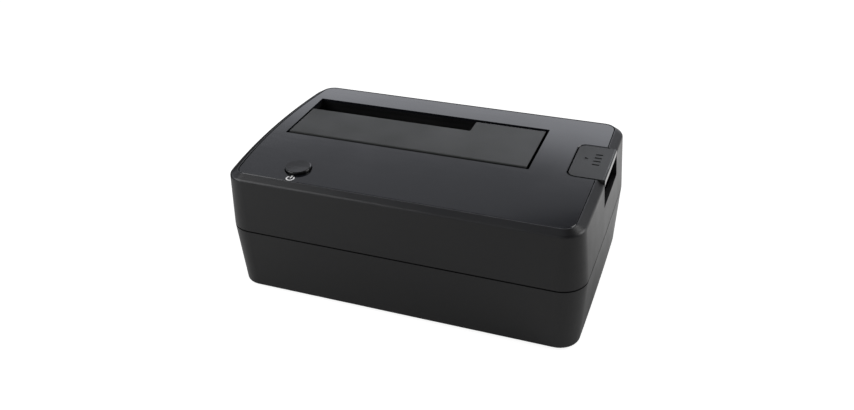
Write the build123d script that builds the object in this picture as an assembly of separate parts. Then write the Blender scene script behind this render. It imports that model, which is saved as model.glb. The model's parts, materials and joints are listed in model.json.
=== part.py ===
# Hard drive docking station: a two-part moulded case with an upright drive bay in its top.
# A spring-loaded flap closes the bay. Its notch leaves the slot for a small drive open, and a large
# drive pushes the whole flap down and stands beside it. A push tab on the right works a rocker that
# lifts the drive off its connector. A round power button works a switch on a small board.
#
# The part that takes the most skill is the moulded case: bowed and drafted walls, a rounded sloping
# shoulder, a lap joint at the seam, and the sprung flap, tab and rocker that share the bay inside it.
#
# Frame: +X to the tab's end, +Y to the back with the sockets, +Z up.
# The origin is at the middle of the footprint, on the surface that the feet stand on. Millimetres.

import os
from math import radians, tan

from build123d import *

# Case form
length = 146.0  # end to end at the seam
depth = 88.6  # front to back at the seam
foot_height = 1.2  # how far the feet lift the case
base_height = 27.5  # underside to seam
top_height = 24.9  # seam to the face of the glossy panel
left_bow = 3.6  # how far the left end bulges out between its corners
right_bow = 0.4
corner_radius = 10.0
base_draft_x = 1.4  # how much each end leans in from the seam to the underside
base_draft_y = 1.8
top_draft_x = 1.7  # and from the seam to the shoulder
top_draft_y = 0.3
shoulder_x = 3.1  # width of the sloping shoulder round the panel
shoulder_y = 2.3
shoulder_drop = 1.9
shoulder_round = 1.4
rim_flat = 0.35  # level rim between the shoulder and the panel's recess
underside_round = 1.0
wall = 2.0
floor_thickness = 2.0
seam_gap = 0.6  # shadow line between the two shells
tongue_thickness = 0.9
tongue_height = 2.0
tongue_clearance = 0.2
bite = 0.5  # how far a post or rib starts inside what it stands on
weld = 0.2  # overlap that joins two shapes of one moulding
past = 1.0  # how far a cut runs beyond the face that it opens

# Glossy panel and the deck that it lies on
panel_thickness = 1.2
panel_clearance = 0.15
panel_bevel = 0.25
deck_thickness = 2.0

# Mouth of the drive bay
mouth_left_margin = 11.2  # from the left end of the case
mouth_right_margin = 30.8  # from the right end, which leaves 104 mm for a drive 101.6 mm wide
mouth_back_margin = 15.1  # from the back of the case
mouth_depth = 34.5
notch_length = 72.5  # slot for a small drive, in the back left of the mouth
notch_depth = 10.2

# Flap
flap_thickness = 2.0
flap_recess = 0.25  # below the panel
flap_front_gap = 1.2
flap_back_gap = 1.3
flap_left_gap = 0.7
flap_right_gap = 1.3
flap_front_round = 1.4
flap_back_round = 0.4
flap_notch_round = 0.6
flap_hinge_drop = 3.0  # hinge line below the panel
flap_hinge_set = 2.0  # and behind the front edge of the mouth
hinge_barrel_radius = 1.5
hinge_barrel_inset = 0.5
hinge_rod_radius = 0.8
hinge_rod_bevel = 0.2
hinge_clearance = 0.05
hinge_end_room = 0.2
flap_rib = 1.2
flap_rib_depth = 1.5
flap_rib_count = 4
flap_rib_inset = 12.0
flap_rib_set = 2.0  # ends of the long ribs from the flap's ends
stop_ear_length = 6.0
stop_ear_thickness = 1.3
stop_ear_reach = 0.7  # under the deck at each end of the mouth
stop_ear_root = 1.6
stop_ear_set = 9.0  # in front of the notch
stop_clearance = 0.3
flap_spring_x = -10.0  # middle of the spring
flap_spring_gap = 9.0  # length of barrel left out for the spring
flap_spring_width = 6.6
flap_spring_turns = 7
flap_spring_wire = 0.2  # radius
flap_spring_play = 0.15  # round the rod
flap_spring_leg = 9.0

# Drive well
bay_floor_rise = 14.2  # from the case's floor to the bay's floor
well_wall = 1.8
well_side_room = 1.9  # beyond the mouth, for the flap's stop ears
well_front_room = 0.6
well_back_room = 0.2
well_floor_thickness = 1.8
guide_height = 9.0
guide_clearance = 0.2
guide_set = 8.0  # behind the mouth's front edge
lug_radius = 3.0
lug_thickness = 2.0
lug_boss_height = 6.0
lug_boss_gap = 0.05
lug_set = 8.0  # from the ends of the mouth
lug_back_left_set = 14.0
lug_stand_off = 2.2  # from the well's wall to the lug's screw

# Drive connector
connector_base_height = 5.4  # from its board up to where a drive stops
connector_width = 43.0
connector_depth = 7.3
connector_set = 9.8  # from the left end of the mouth, where both drive sizes have theirs
connector_back_set = 4.55  # from the back of the mouth to the middle of its slots
connector_clearance = 0.3
signal_contacts = 7
power_contacts = 15
signal_spare = 1.5  # slot length beyond its contacts
power_spare = 1.9
slot_end_left = 4.6
slot_end_right = 4.76
slot_divider = 2.3
slot_width = 2.4
slot_depth = 4.2
slot_wall = 0.2
slot_key = 1.1
slot_rim = 1.2
slot_rise = 0.4
contact_width = 0.6
contact_thickness = 0.35
contact_height = 3.6
horn_width = 2.6
horn_depth = 4.4
horn_inset = 0.2
horn_rise = 1.6  # above the slots' rim
horn_bevel = 0.6

# Boards and their screws
board_thickness = 1.6
board_corner = 1.2
board_standoff = 2.4
standoff_radius = 2.6
small_boss_radius = 2.3
board_screw_radius = 1.05
board_screw_room = 0.2
board_screw_head = 2.2
board_screw_head_height = 1.4
board_screw_length = 3.8
board_inset = 4.0  # from a board's edges to its screws
main_board_depth = 52.5
main_board_back_set = 2.5  # behind which the sockets' faces stand
main_board_right_set = 18.5  # from the power inlet's middle to the right edge
main_board_left_set = 1.5  # beyond the link
main_board_arm_set = 2.4  # in front of the data socket
drive_board_left_side = 8.5  # beyond the connector
drive_board_right_side = 1.5
drive_board_front = 10.85  # in front of the connector's middle
drive_board_back = 5.85
drive_screw_length = 4.4
link_length = 10.0
link_depth = 5.0
link_inset = 2.0  # from the drive board's right edge

# Eject tab, rocker and spring
tab_set = 16.1  # from the right end of the case to the tab's left edge
tab_front_set = 0.5  # behind the mouth's front edge
tab_length = 25.2
tab_corner = 3.0
tab_gap = 0.6
tab_thickness = 2.0
tab_lip_drop = 0.85  # how far the lip reaches below the shoulder's edge
tab_lip_round = 0.6
tab_travel = 5.4
tab_flange = 1.6  # how far the stop flange reaches under the deck
tab_flange_thickness = 1.2
tab_neck_inset = 0.5
tab_side_room = 0.4
tab_wall = 1.5
tab_mark_set = 7.4  # from the right end to the middle of the grip bars
tab_mark_back = 2.0  # behind the tab's middle
tab_mark_count = 4
tab_mark_pitch = 2.7
tab_mark_length = 2.8
tab_mark_width = 0.9
tab_mark_depth = 0.3
tab_arrow_set = 4.4
tab_arrow_size = 1.0
pocket_depth = 11.6  # from the panel down to the pocket's sill
skirt_set = 4.7  # from the right end to the skirt's face
skirt_thickness = 1.8
skirt_below = 4.0  # how far the skirt reaches below the pocket's sill
stem_set = 1.6  # from the tab's left edge
stem_width = 7.0
stem_depth = 6.0
stem_back_set = 1.4  # in front of the tab's back edge
stem_gap = 0.4  # to the rocker's nose
stem_side_gap = 0.3  # in its channel
channel_wall = 1.7
channel_lift = 2.0  # above the bay's floor
channel_short = 2.0  # how much the fins stop short of the stem's far side
rocker_drop = 3.0  # pivot below the bay's floor
rocker_nose_arm = 24.0
rocker_nose_rise = 1.9
rocker_head_set = 10.0  # from the connector to the middle of the head
rocker_back_set = 2.2  # from the back of the mouth
rocker_arm = 2.4  # thickness
rocker_sink = 1.8  # top of the arm below the pivot
rocker_bend = 5.0  # from the pivot to where the arm starts to rise
rocker_hub_radius = 2.2
rocker_pin_radius = 1.0
rocker_pin_bevel = 0.15
rocker_side_gap = 0.2
rocker_hub_gap = 0.1
rocker_nose_radius = 1.7
rocker_head_width = 8.0
rocker_pad_width = 3.6
rocker_pad_round = 1.2
rocker_pad_gap = 0.3  # below the bay's floor
rocker_slot_left = 5.5  # from the head's middle
rocker_slot_share = 0.473  # of the way from the head to the pivot
rocker_pad_slot = 7.5
rocker_slot_room = 0.5
tab_spring_side = 4.0  # from the stem's left face
tab_spring_front = 11.5  # in front of the stem
tab_spring_radius = 3.2
tab_spring_wire = 0.35
tab_spring_turns = 9
tab_spring_shelf = 2.0
tab_spring_shelf_side = 5.0
tab_post_radius = 2.2
tab_post_height = 8.8
tab_post_pin = 4.0
tab_locator = 3.0

# Power button and its switch
button_set_x = 30.9  # from the left end
button_set_y = 12.7  # from the front
button_radius = 5.0
button_gap = 0.35
button_proud = 1.2
button_travel = 1.2
button_height = 7.0
button_crown = 2.2
button_skirt = 1.1
button_edge_round = 0.45
button_dish_radius = 160.0
button_dish = 0.08
button_stem_radius = 2.2
button_stem_gap = 0.2  # to the switch's plunger
button_barb = 0.7
guide_tube_wall = 1.6
guide_tube_depth = 8.4
guide_ledge = 1.5
guide_ledge_gap = 0.3
switch_drop = 1.5  # plunger's top below the guide tube
switch_size = 7.0
switch_corner = 0.5
switch_body_height = 5.5
switch_plunger_height = 2.0
switch_plunger_radius = 1.6
switch_plunger_round = 0.3
switch_bore_depth = 3.0
switch_bore_gap = 0.1
switch_board_length = 28.0
switch_board_depth = 14.0
switch_post_set = 10.5
switch_screw_length = 6.0
button_spring_gap = 0.3  # inside the button's skirt
button_spring_wire = 0.25
button_spring_turns = 5

# Lead from the switch board to the main board
lead_radius = 0.9
lead_start_x = 8.0  # from the button's middle
lead_start_y = 4.5
lead_drop = 9.0  # straight run below the upper plug
lead_rise = 8.6  # and above the lower one
plug_set_x = 11.0  # from the main board's left edge
plug_set_y = 2.6  # and from its front edge
plug_length = 6.0
plug_depth = 4.0
plug_height = 3.0

# Case screws and their pillars
pillar_left_set = 7.9  # from the left corner line
pillar_right_set = 8.5  # from the right end
pillar_side_set = 9.1  # from the front and the back
pillar_radius = 3.9
pillar_boss_radius = 3.3
pillar_joint_drop = 1.7  # where a pillar meets its boss, below the seam
screw_head_radius = 2.6
screw_head_height = 1.9
screw_radius = 1.45
screw_length = 16.0
screw_fit = 0.05
screw_room = 0.25
counterbore_radius = 2.9
counterbore_height = 15.0

# Feet
foot_radius = 5.5
foot_seat = 0.8
foot_seat_gap = 0.1
foot_edge_round = 0.4
foot_set_x = 21.0
foot_set_y = 14.3

# Sockets in the back
socket_set = 1.3  # from the back of the case at the seam to the sockets' faces
socket_clearance = 0.3
socket_cut = 6.0
usb_set = 20.0  # from the right end of the case
usb_width = 12.0
usb_height = 12.6
usb_depth = 18.0
usb_skin = 0.6
usb_round = 0.8
usb_floor = 1.5
usb_bay_width = 8.45
usb_bay_height = 7.8
usb_bay_cut = 1.6
usb_top_width = 5.2
usb_top_height = 2.3
usb_insert_depth = 7.0
usb_insert_gap = 0.1
usb_tongue_width = 5.6
usb_tongue_height = 3.2
usb_tongue_set = 1.5  # behind the socket's face
usb_blade_width = 4.0
usb_blade_height = 1.0
usb_blade_rise = 0.3  # above the square bay
usb_contact_length = 7.0
usb_contact_width = 0.8
usb_contact_spread = 2.5
usb_contact_thickness = 0.15
usb_blade_contacts = 5
usb_blade_contact_width = 0.4
usb_blade_contact_pitch = 0.8
jack_spacing = 26.5  # from the data socket
jack_width = 9.0
jack_height = 8.6
jack_depth = 11.6
jack_round = 1.5
jack_bore = 3.15
jack_bore_depth = 10.0
jack_pin = 1.0
jack_pin_set = 1.0  # behind the inlet's face
jack_pin_round = 0.5

# Parts on the main board
chip_size = 10.0
chip_height = 1.2
chip_lift = 0.1
chip_legs = 12  # on each side
chip_leg_pitch = 0.75
chip_leg = 0.3
chip_leg_reach = 0.9
chip_bevel = 0.2
chip_share = 0.379  # of the way along the board
chip_back = 16.0  # from the board's front edge
flash_length = 5.0
flash_depth = 4.0
flash_height = 1.5
flash_share = 0.606
flash_back = 15.0
crystal_length = 11.2
crystal_depth = 4.6
crystal_height = 3.6
crystal_share = 0.5
crystal_back = 3.6
inductor_size = 7.0
inductor_height = 4.0
inductor_round = 1.2
inductor_share = 0.788
inductor_backs = (18.5, 36.5)
can_radius = 3.1
can_height = 7.5
can_round = 0.5
can_places = ((0.30, 46.5), (0.72, 5.0))  # share of the way along, and from the front

# Levels and places worked out from the sizes above
underside = foot_height
seam = underside + base_height
face = seam + top_height
shoulder = face - shoulder_drop
deck_top = face - panel_thickness
deck_under = deck_top - deck_thickness
floor_top = underside + floor_thickness
panel_inset = (top_draft_x + shoulder_x, top_draft_y + shoulder_y)

mouth_left = -length / 2 + mouth_left_margin
mouth_right = length / 2 - mouth_right_margin
mouth_back = depth / 2 - mouth_back_margin
mouth_front = mouth_back - mouth_depth
notch_right = mouth_left + notch_length
notch_front = mouth_back - notch_depth

hinge_y = mouth_front + flap_hinge_set
hinge_z = face - flap_hinge_drop
flap_top = face - flap_recess
flap_under = flap_top - flap_thickness
flap_left = mouth_left + flap_left_gap
flap_right = mouth_right - flap_right_gap
flap_back = mouth_back - flap_back_gap
spring_gap_left = flap_spring_x - flap_spring_gap / 2
spring_gap_right = flap_spring_x + flap_spring_gap / 2

well_left = mouth_left - well_side_room
well_right = mouth_right + well_side_room
well_front = mouth_front - well_front_room
well_back = mouth_back + well_back_room
well_floor_top = floor_top + bay_floor_rise
well_floor_under = well_floor_top - well_floor_thickness
lug_boss_end = deck_under - lug_boss_height

connector_left = mouth_left + connector_set
connector_right = connector_left + connector_width
connector_middle = mouth_back - connector_back_set
slot_spare = slot_end_left + slot_end_right + slot_divider + signal_spare + power_spare
contact_pitch = (connector_width - slot_spare) / (signal_contacts + power_contacts)

usb_x = length / 2 - usb_set
jack_x = usb_x - jack_spacing
socket_face = depth / 2 - socket_set
board_under = floor_top + board_standoff
board_top = board_under + board_thickness
drive_board_top = well_floor_top - connector_base_height
drive_board_under = drive_board_top - board_thickness
drive_board_left = connector_left - drive_board_left_side
drive_board_right = connector_right + drive_board_right_side
link_right = drive_board_right - link_inset
link_left = link_right - link_length
board_left = link_left - main_board_left_set
board_right = jack_x + main_board_right_set
board_back = socket_face - main_board_back_set
board_front = board_back - main_board_depth
usb_middle = board_top + usb_floor + usb_bay_height / 2
usb_blade_low = usb_middle + usb_bay_height / 2 + usb_blade_rise

tab_left = length / 2 - tab_set
tab_front = mouth_front + tab_front_set
tab_back = tab_front + tab_length
tab_mark_y = (tab_front + tab_back) / 2 + tab_mark_back
tab_lip_bottom = shoulder - tab_lip_drop
pocket_bottom = face - pocket_depth
skirt_face = length / 2 - skirt_set
skirt_bottom = pocket_bottom - skirt_below
stem_left = tab_left + stem_set
stem_back = tab_back - stem_back_set
stem_front = stem_back - stem_depth
rocker_nose_x = stem_left + stem_width / 2
rocker_pivot_x = rocker_nose_x - rocker_nose_arm
rocker_pivot_z = well_floor_under - rocker_drop
rocker_head_x = connector_right + rocker_head_set
rocker_head_back = mouth_back - rocker_back_set
rocker_arm_top = rocker_pivot_z - rocker_sink
nose_top = rocker_pivot_z + rocker_nose_rise
stem_bottom = nose_top + stem_gap
tab_spring_x = stem_left + tab_spring_side
tab_spring_y = stem_front - tab_spring_front
tab_post_seat = floor_top + tab_post_height

button_x = -length / 2 + button_set_x
button_y = -depth / 2 + button_set_y
button_top = face + button_proud
button_spring_radius = button_radius - button_skirt - button_spring_gap - button_spring_wire
guide_tube_end = deck_under - guide_tube_depth
switch_top = guide_tube_end - switch_drop
switch_body_top = switch_top - switch_plunger_height
switch_board_top = switch_body_top - switch_body_height
switch_board_under = switch_board_top - board_thickness

pillar_left = -length / 2 + left_bow + pillar_left_set
pillar_right = length / 2 - pillar_right_set
pillar_side = depth / 2 - pillar_side_set
pillar_joint = seam - pillar_joint_drop
screw_seat = underside + counterbore_height
foot_x = length / 2 - foot_set_x
foot_y = depth / 2 - foot_set_y

pillars = [(x, y) for x in (pillar_left, pillar_right) for y in (-pillar_side, pillar_side)]
feet = [(x, y) for y in (-foot_y, foot_y) for x in (-foot_x, foot_x)]
lug_front = well_front - well_wall - lug_stand_off
lug_back = well_back + well_wall + lug_stand_off
lugs = [
    (mouth_left + lug_set, lug_front),
    (mouth_right - lug_set, lug_front),
    (mouth_left + lug_back_left_set, lug_back),
    (mouth_right - lug_set, lug_back),
]
switch_posts = [(button_x - switch_post_set, button_y), (button_x + switch_post_set, button_y)]
board_posts = [
    (x, y)
    for x in (board_left + board_inset, board_right - board_inset)
    for y in (board_front + board_inset, board_back - board_inset)
]
drive_board_posts = [
    (x, connector_middle - drive_board_front + board_inset)
    for x in (drive_board_left + board_inset, drive_board_right - board_inset)
]


# Shapes used all over the part

def block(x0, x1, y0, y1, z0, z1):
    return Pos((x0 + x1) / 2, (y0 + y1) / 2, (z0 + z1) / 2) * Box(x1 - x0, y1 - y0, z1 - z0)


def post(x, y, z0, z1, radius):
    return Pos(x, y, (z0 + z1) / 2) * Cylinder(radius, z1 - z0)


def rod_x(x0, x1, y, z, radius):
    return Pos((x0 + x1) / 2, y, z) * Rot(0, 90, 0) * Cylinder(radius, x1 - x0)


def rod_y(x, y0, y1, z, radius):
    return Pos(x, (y0 + y1) / 2, z) * Rot(90, 0, 0) * Cylinder(radius, y1 - y0)


def top_face(shape):
    return shape.faces().sort_by(Axis.Z)[-1]


def bottom_face(shape):
    return shape.faces().sort_by(Axis.Z)[0]


def plan(inset_x, inset_y):
    """Plan of the case, drawn in by its insets: straight front and back, bowed ends, round corners."""
    half_l = length / 2 - inset_x
    half_d = depth / 2 - inset_y
    left, right = -half_l + left_bow, half_l - right_bow
    edges = [
        Line((left, -half_d), (right, -half_d)),
        ThreePointArc((right, -half_d), (half_l, 0), (right, half_d)),
        Line((right, half_d), (left, half_d)),
        ThreePointArc((left, half_d), (-half_l, 0), (left, -half_d)),
    ]
    shape = make_face(edges)
    return fillet(shape.vertices(), corner_radius - max(inset_x, inset_y))


def between(z0, inset0, z1, inset1):
    """Solid between two plans, each drawn in by its (x, y) inset."""
    return loft([Pos(0, 0, z0) * plan(*inset0), Pos(0, 0, z1) * plan(*inset1)], ruled=True)


def top_inset(z, extra=0.0):
    share = (z - seam) / (shoulder - seam)
    return (top_draft_x * share + extra, top_draft_y * share + extra)


def base_inset(z, extra=0.0):
    share = (seam - z) / base_height
    return (base_draft_x * share + extra, base_draft_y * share + extra)


def top_form():
    """Outside of the upper half, solid, with its rounded shoulder."""
    low = seam + seam_gap / 2
    walls = between(low, top_inset(low), shoulder, top_inset(shoulder))
    form = walls + between(shoulder, top_inset(shoulder), face, panel_inset)
    near = 0.01
    rim = form.edges().filter_by_position(Axis.Z, shoulder - near, shoulder + near)
    return fillet(rim, shoulder_round)


def mouth(z0, z1):
    return block(mouth_left, mouth_right, mouth_front, mouth_back, z0, z1)


def tab_outline(grow):
    """Plan of the eject tab, open past the right end of the case."""
    shape = make_face(
        Polyline(
            (tab_left - grow, tab_front - grow),
            (length, tab_front - grow),
            (length, tab_back + grow),
            (tab_left - grow, tab_back + grow),
            close=True,
        )
    )
    inner = shape.vertices().sort_by(Axis.X)[:2]
    return fillet(inner, tab_corner + grow)


def coil(radius, wire, height, turns):
    """Coil spring standing on its lowest point, with its end turns touching both seats."""
    lift = wire * 0.9
    rise = height - 2 * lift
    path = Helix(pitch=rise / turns, height=rise, radius=radius)
    section = Plane(origin=path @ 0, z_dir=path % 0) * Circle(wire)
    return Pos(0, 0, lift) * sweep(section, path=path)


# Case

def upper_shell():
    low = seam + seam_gap / 2
    cavity = between(low, top_inset(low, wall), deck_under, top_inset(deck_under, wall))
    shell = top_form() - cavity
    # step that the base's tongue fits into
    step_top = seam + tongue_height + tongue_clearance
    reach = wall - tongue_thickness - tongue_clearance
    shell -= between(low, top_inset(low, reach), step_top, top_inset(step_top, reach))
    shell += deck_bosses()
    shell += button_guide()
    recess = (panel_inset[0] + rim_flat, panel_inset[1] + rim_flat)
    shell -= Pos(0, 0, deck_top) * extrude(plan(*recess), panel_thickness)
    shell -= mouth(deck_under - past, face)
    shell -= post(button_x, button_y, deck_under - weld, face, button_radius + button_gap)
    # seats that hold down the ends of the flap's rod
    seat = hinge_rod_radius + hinge_clearance
    x0 = well_left - well_wall - hinge_end_room
    x1 = well_right + well_wall + hinge_end_room
    shell -= rod_x(x0, x1, hinge_y, hinge_z, seat)
    shell -= block(x0, x1, hinge_y - seat, hinge_y + seat, deck_under - past, hinge_z)
    # slot for the tab through the deck and shoulder, and the pocket that its lip drops into
    shell -= extrude(Pos(0, 0, deck_under) * tab_outline(tab_gap), face - deck_under + past)
    shell -= block(
        skirt_face - skirt_thickness, length,
        tab_front - tab_gap, tab_back + tab_gap,
        pocket_bottom, deck_under + weld / 2,
    )
    return shell


def deck_bosses():
    """Screw bosses moulded to the underside of the deck."""
    made = []
    for x, y in pillars:
        boss = post(x, y, pillar_joint, deck_under, pillar_boss_radius)
        hole_end = screw_seat + screw_length + past
        made.append(boss - post(x, y, pillar_joint, hole_end, screw_radius + screw_fit))
    for x, y in lugs:
        boss = post(x, y, lug_boss_end, deck_under, lug_radius)
        hole = post(x, y, lug_boss_end, deck_under - past, board_screw_radius + screw_fit)
        made.append(boss - hole)
    for x, y in switch_posts:
        boss = post(x, y, switch_board_top, deck_under, small_boss_radius)
        hole_end = switch_board_under + switch_screw_length + past
        made.append(boss - post(x, y, switch_board_top, hole_end, board_screw_radius))
    return made


def button_guide():
    """Tube under the deck that the button slides in, with the ledge that its barb sits under."""
    inner = button_radius + button_gap
    ledge_top = guide_tube_end + guide_ledge
    tube = post(button_x, button_y, guide_tube_end, deck_under, inner + guide_tube_wall)
    tube -= post(button_x, button_y, ledge_top, deck_under, inner)
    stem_hole = button_stem_radius + guide_ledge_gap
    return tube - post(button_x, button_y, guide_tube_end, ledge_top, stem_hole)


def top_panel():
    edge = rim_flat + panel_clearance
    inset = (panel_inset[0] + edge, panel_inset[1] + edge)
    panel = Pos(0, 0, deck_top) * extrude(plan(*inset), panel_thickness)
    panel -= mouth(deck_top - past, face + past)
    panel -= post(button_x, button_y, deck_top - past, face + past, button_radius + button_gap)
    panel -= extrude(Pos(0, 0, deck_top - past) * tab_outline(tab_gap), panel_thickness + 2 * past)
    return chamfer(top_face(panel).outer_wire().edges(), panel_bevel)


def base_shell():
    high = seam - seam_gap / 2
    shell = between(underside, base_inset(underside), high, base_inset(high))
    shell = fillet(bottom_face(shell).outer_wire().edges(), underside_round)
    shell -= between(floor_top, base_inset(floor_top, wall), high, base_inset(high, wall))
    # tongue round the rim, half a wall thick
    root = high - tongue_height
    tip = seam + tongue_height
    outer = (wall - tongue_thickness, wall - tongue_thickness)
    tongue = between(root, outer, tip, outer)
    shell += tongue - between(root, (wall, wall), tip, (wall, wall))
    for x, y in pillars:
        shell += post(x, y, floor_top - bite, pillar_joint, pillar_radius)
    for x, y in board_posts:
        shell += post(x, y, floor_top - bite, board_under, standoff_radius)
    seat_radius = tab_spring_radius + tab_spring_wire + bite
    shell += post(tab_spring_x, tab_spring_y, floor_top - bite, tab_post_seat, seat_radius)
    pin_top = tab_post_seat + tab_post_pin
    shell += post(tab_spring_x, tab_spring_y, tab_post_seat, pin_top, tab_post_radius)
    for x, y in pillars:
        shell -= post(x, y, underside - past, screw_seat, counterbore_radius)
        shell -= post(x, y, underside, pillar_joint + past, screw_radius + screw_room)
    for x, y in board_posts:
        shell -= post(x, y, floor_top, board_under + past, board_screw_radius + screw_fit)
    for x, y in feet:
        shell -= post(x, y, underside - past, underside + foot_seat, foot_radius + foot_seat_gap)
    shell -= socket_opening(usb_x, usb_width, usb_height)
    return shell - socket_opening(jack_x, jack_width, jack_height)


def socket_opening(x, width, height):
    half = width / 2 + socket_clearance
    return block(
        x - half, x + half,
        socket_face - socket_cut, depth,
        board_top - socket_clearance, board_top + height + socket_clearance,
    )


def rubber_foot(x, y):
    foot = post(x, y, 0, underside + foot_seat, foot_radius)
    return fillet(bottom_face(foot).edges(), foot_edge_round)


# Screws

def pan_screw(x, y, z, shank, radius, head_radius, head_height, up=True):
    """Pan-head screw with its head's seat at z. Its shank goes up, or down where up is False."""
    hang = (Align.CENTER, Align.CENTER, Align.MAX)
    head = fillet(bottom_face(Cylinder(head_radius, head_height, align=hang)).edges(), head_height * 0.4)
    for turn in (0, 90):
        cut = Box(head_radius * 1.1, head_radius * 0.22, head_height, align=hang)
        head -= Pos(0, 0, -head_height * 0.45) * Rot(0, 0, turn) * cut
    screw = head + Cylinder(radius, shank, align=(Align.CENTER, Align.CENTER, Align.MIN))
    return Pos(x, y, z) * (screw if up else Rot(180, 0, 0) * screw)


def small_screws(places, z, shank, up=True):
    head = (board_screw_head, board_screw_head_height)
    return [pan_screw(x, y, z, shank, board_screw_radius, *head, up=up) for x, y in places]


def screw_sets():
    well_shank = lug_thickness + lug_boss_height - 2 * past
    return {
        "case_screws": [
            pan_screw(
                x, y, screw_seat, screw_length,
                screw_radius, screw_head_radius, screw_head_height,
            )
            for x, y in pillars
        ],
        "well_screws": small_screws(lugs, lug_boss_end - lug_thickness, well_shank),
        "main_board_screws": small_screws(board_posts, board_top, board_screw_length, up=False),
        "drive_board_screws": small_screws(
            drive_board_posts, drive_board_under, drive_screw_length
        ),
        "switch_board_screws": small_screws(switch_posts, switch_board_under, switch_screw_length),
    }


# Drive well

def drive_well():
    """Moulded bay under the deck: walls, floor, guides, hinge holes, lugs and the tab's channel."""
    outer = block(
        well_left - well_wall, well_right + well_wall,
        well_front - well_wall, well_back + well_wall,
        well_floor_under, deck_under,
    )
    inner = block(well_left, well_right, well_front, well_back, well_floor_top, deck_under)
    well = outer - inner
    for x0, x1 in (
        (well_left, mouth_left - guide_clearance),
        (mouth_right + guide_clearance, well_right),
    ):
        guide_front = mouth_front + guide_set
        well += block(x0, x1, guide_front, well_back, well_floor_top, well_floor_top + guide_height)
    for x, y in lugs:
        well += well_lug(x, y) - inner
        # room beside the wall for the deck's boss
        well -= post(x, y, lug_boss_end, deck_under, lug_radius + lug_boss_gap)
    # saddles that carry the flap's rod
    well -= rod_x(
        well_left - well_wall - past, well_right + well_wall + past,
        hinge_y, hinge_z, hinge_rod_radius + hinge_clearance,
    )
    # opening for the connector, and the slots that the rocker rises through
    well -= connector_block(connector_clearance, well_floor_under, well_floor_top)
    slot_left = rocker_head_x - rocker_slot_left
    slot_right = rocker_head_x + rocker_slot_share * (rocker_pivot_x - rocker_head_x)
    slot_front = stem_front - rocker_slot_room
    slot_back = stem_back + rocker_slot_room
    well -= block(slot_left, slot_right, slot_front, slot_back, well_floor_under, well_floor_top)
    well -= block(
        slot_left, rocker_head_x + rocker_pad_slot,
        stem_back, rocker_head_back + rocker_slot_room,
        well_floor_under, well_floor_top,
    )
    well += rocker_ears()
    for x, y in drive_board_posts:
        well += post(x, y, drive_board_top, well_floor_under + weld, small_boss_radius)
        well -= post(x, y, drive_board_top, well_floor_under, board_screw_radius)
    return well + stem_channel()


def well_lug(x, y):
    """Ear on the well's wall with a screw hole, under one of the deck's bosses."""
    toward = well_front if y < well_front else well_back
    low = lug_boss_end - lug_thickness
    lug = post(x, y, low, lug_boss_end, lug_radius)
    lug += block(x - lug_radius, x + lug_radius, min(y, toward), max(y, toward), low, lug_boss_end)
    return lug - post(x, y, low, lug_boss_end, board_screw_radius + screw_room)


def beside_stem():
    """Front and back of the two plates that stand before and behind the stem."""
    near = stem_side_gap
    far = near + channel_wall
    return ((stem_front - far, stem_front - near), (stem_back + near, stem_back + far))


def rocker_ears():
    ears = []
    for y0, y1 in beside_stem():
        ear = rod_y(rocker_pivot_x, y0, y1, rocker_pivot_z, rocker_hub_radius)
        ear += block(
            rocker_pivot_x - rocker_hub_radius, rocker_pivot_x + rocker_hub_radius,
            y0, y1, rocker_pivot_z, well_floor_under + weld,
        )
        ears.append(ear - rod_y(rocker_pivot_x, y0, y1, rocker_pivot_z, rocker_pin_radius))
    return ears


def stem_channel():
    """Three-sided channel on the well's right wall that guides the tab's stem."""
    low = well_floor_top + channel_lift
    high = skirt_bottom - tab_travel - rocker_slot_room
    left = well_right + well_wall - bite
    right = stem_left + stem_width - channel_short
    fins = [block(left, right, y0, y1, low, high) for y0, y1 in beside_stem()]
    front, back = beside_stem()[0][0], beside_stem()[1][1]
    plate = block(left, stem_left - stem_side_gap, front, back, low, high)
    return plate + fins


def connector_block(grow, z0, z1):
    half = connector_depth / 2 + grow
    return block(
        connector_left - grow, connector_right + grow,
        connector_middle - half, connector_middle + half, z0, z1,
    )


# Flap

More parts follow.
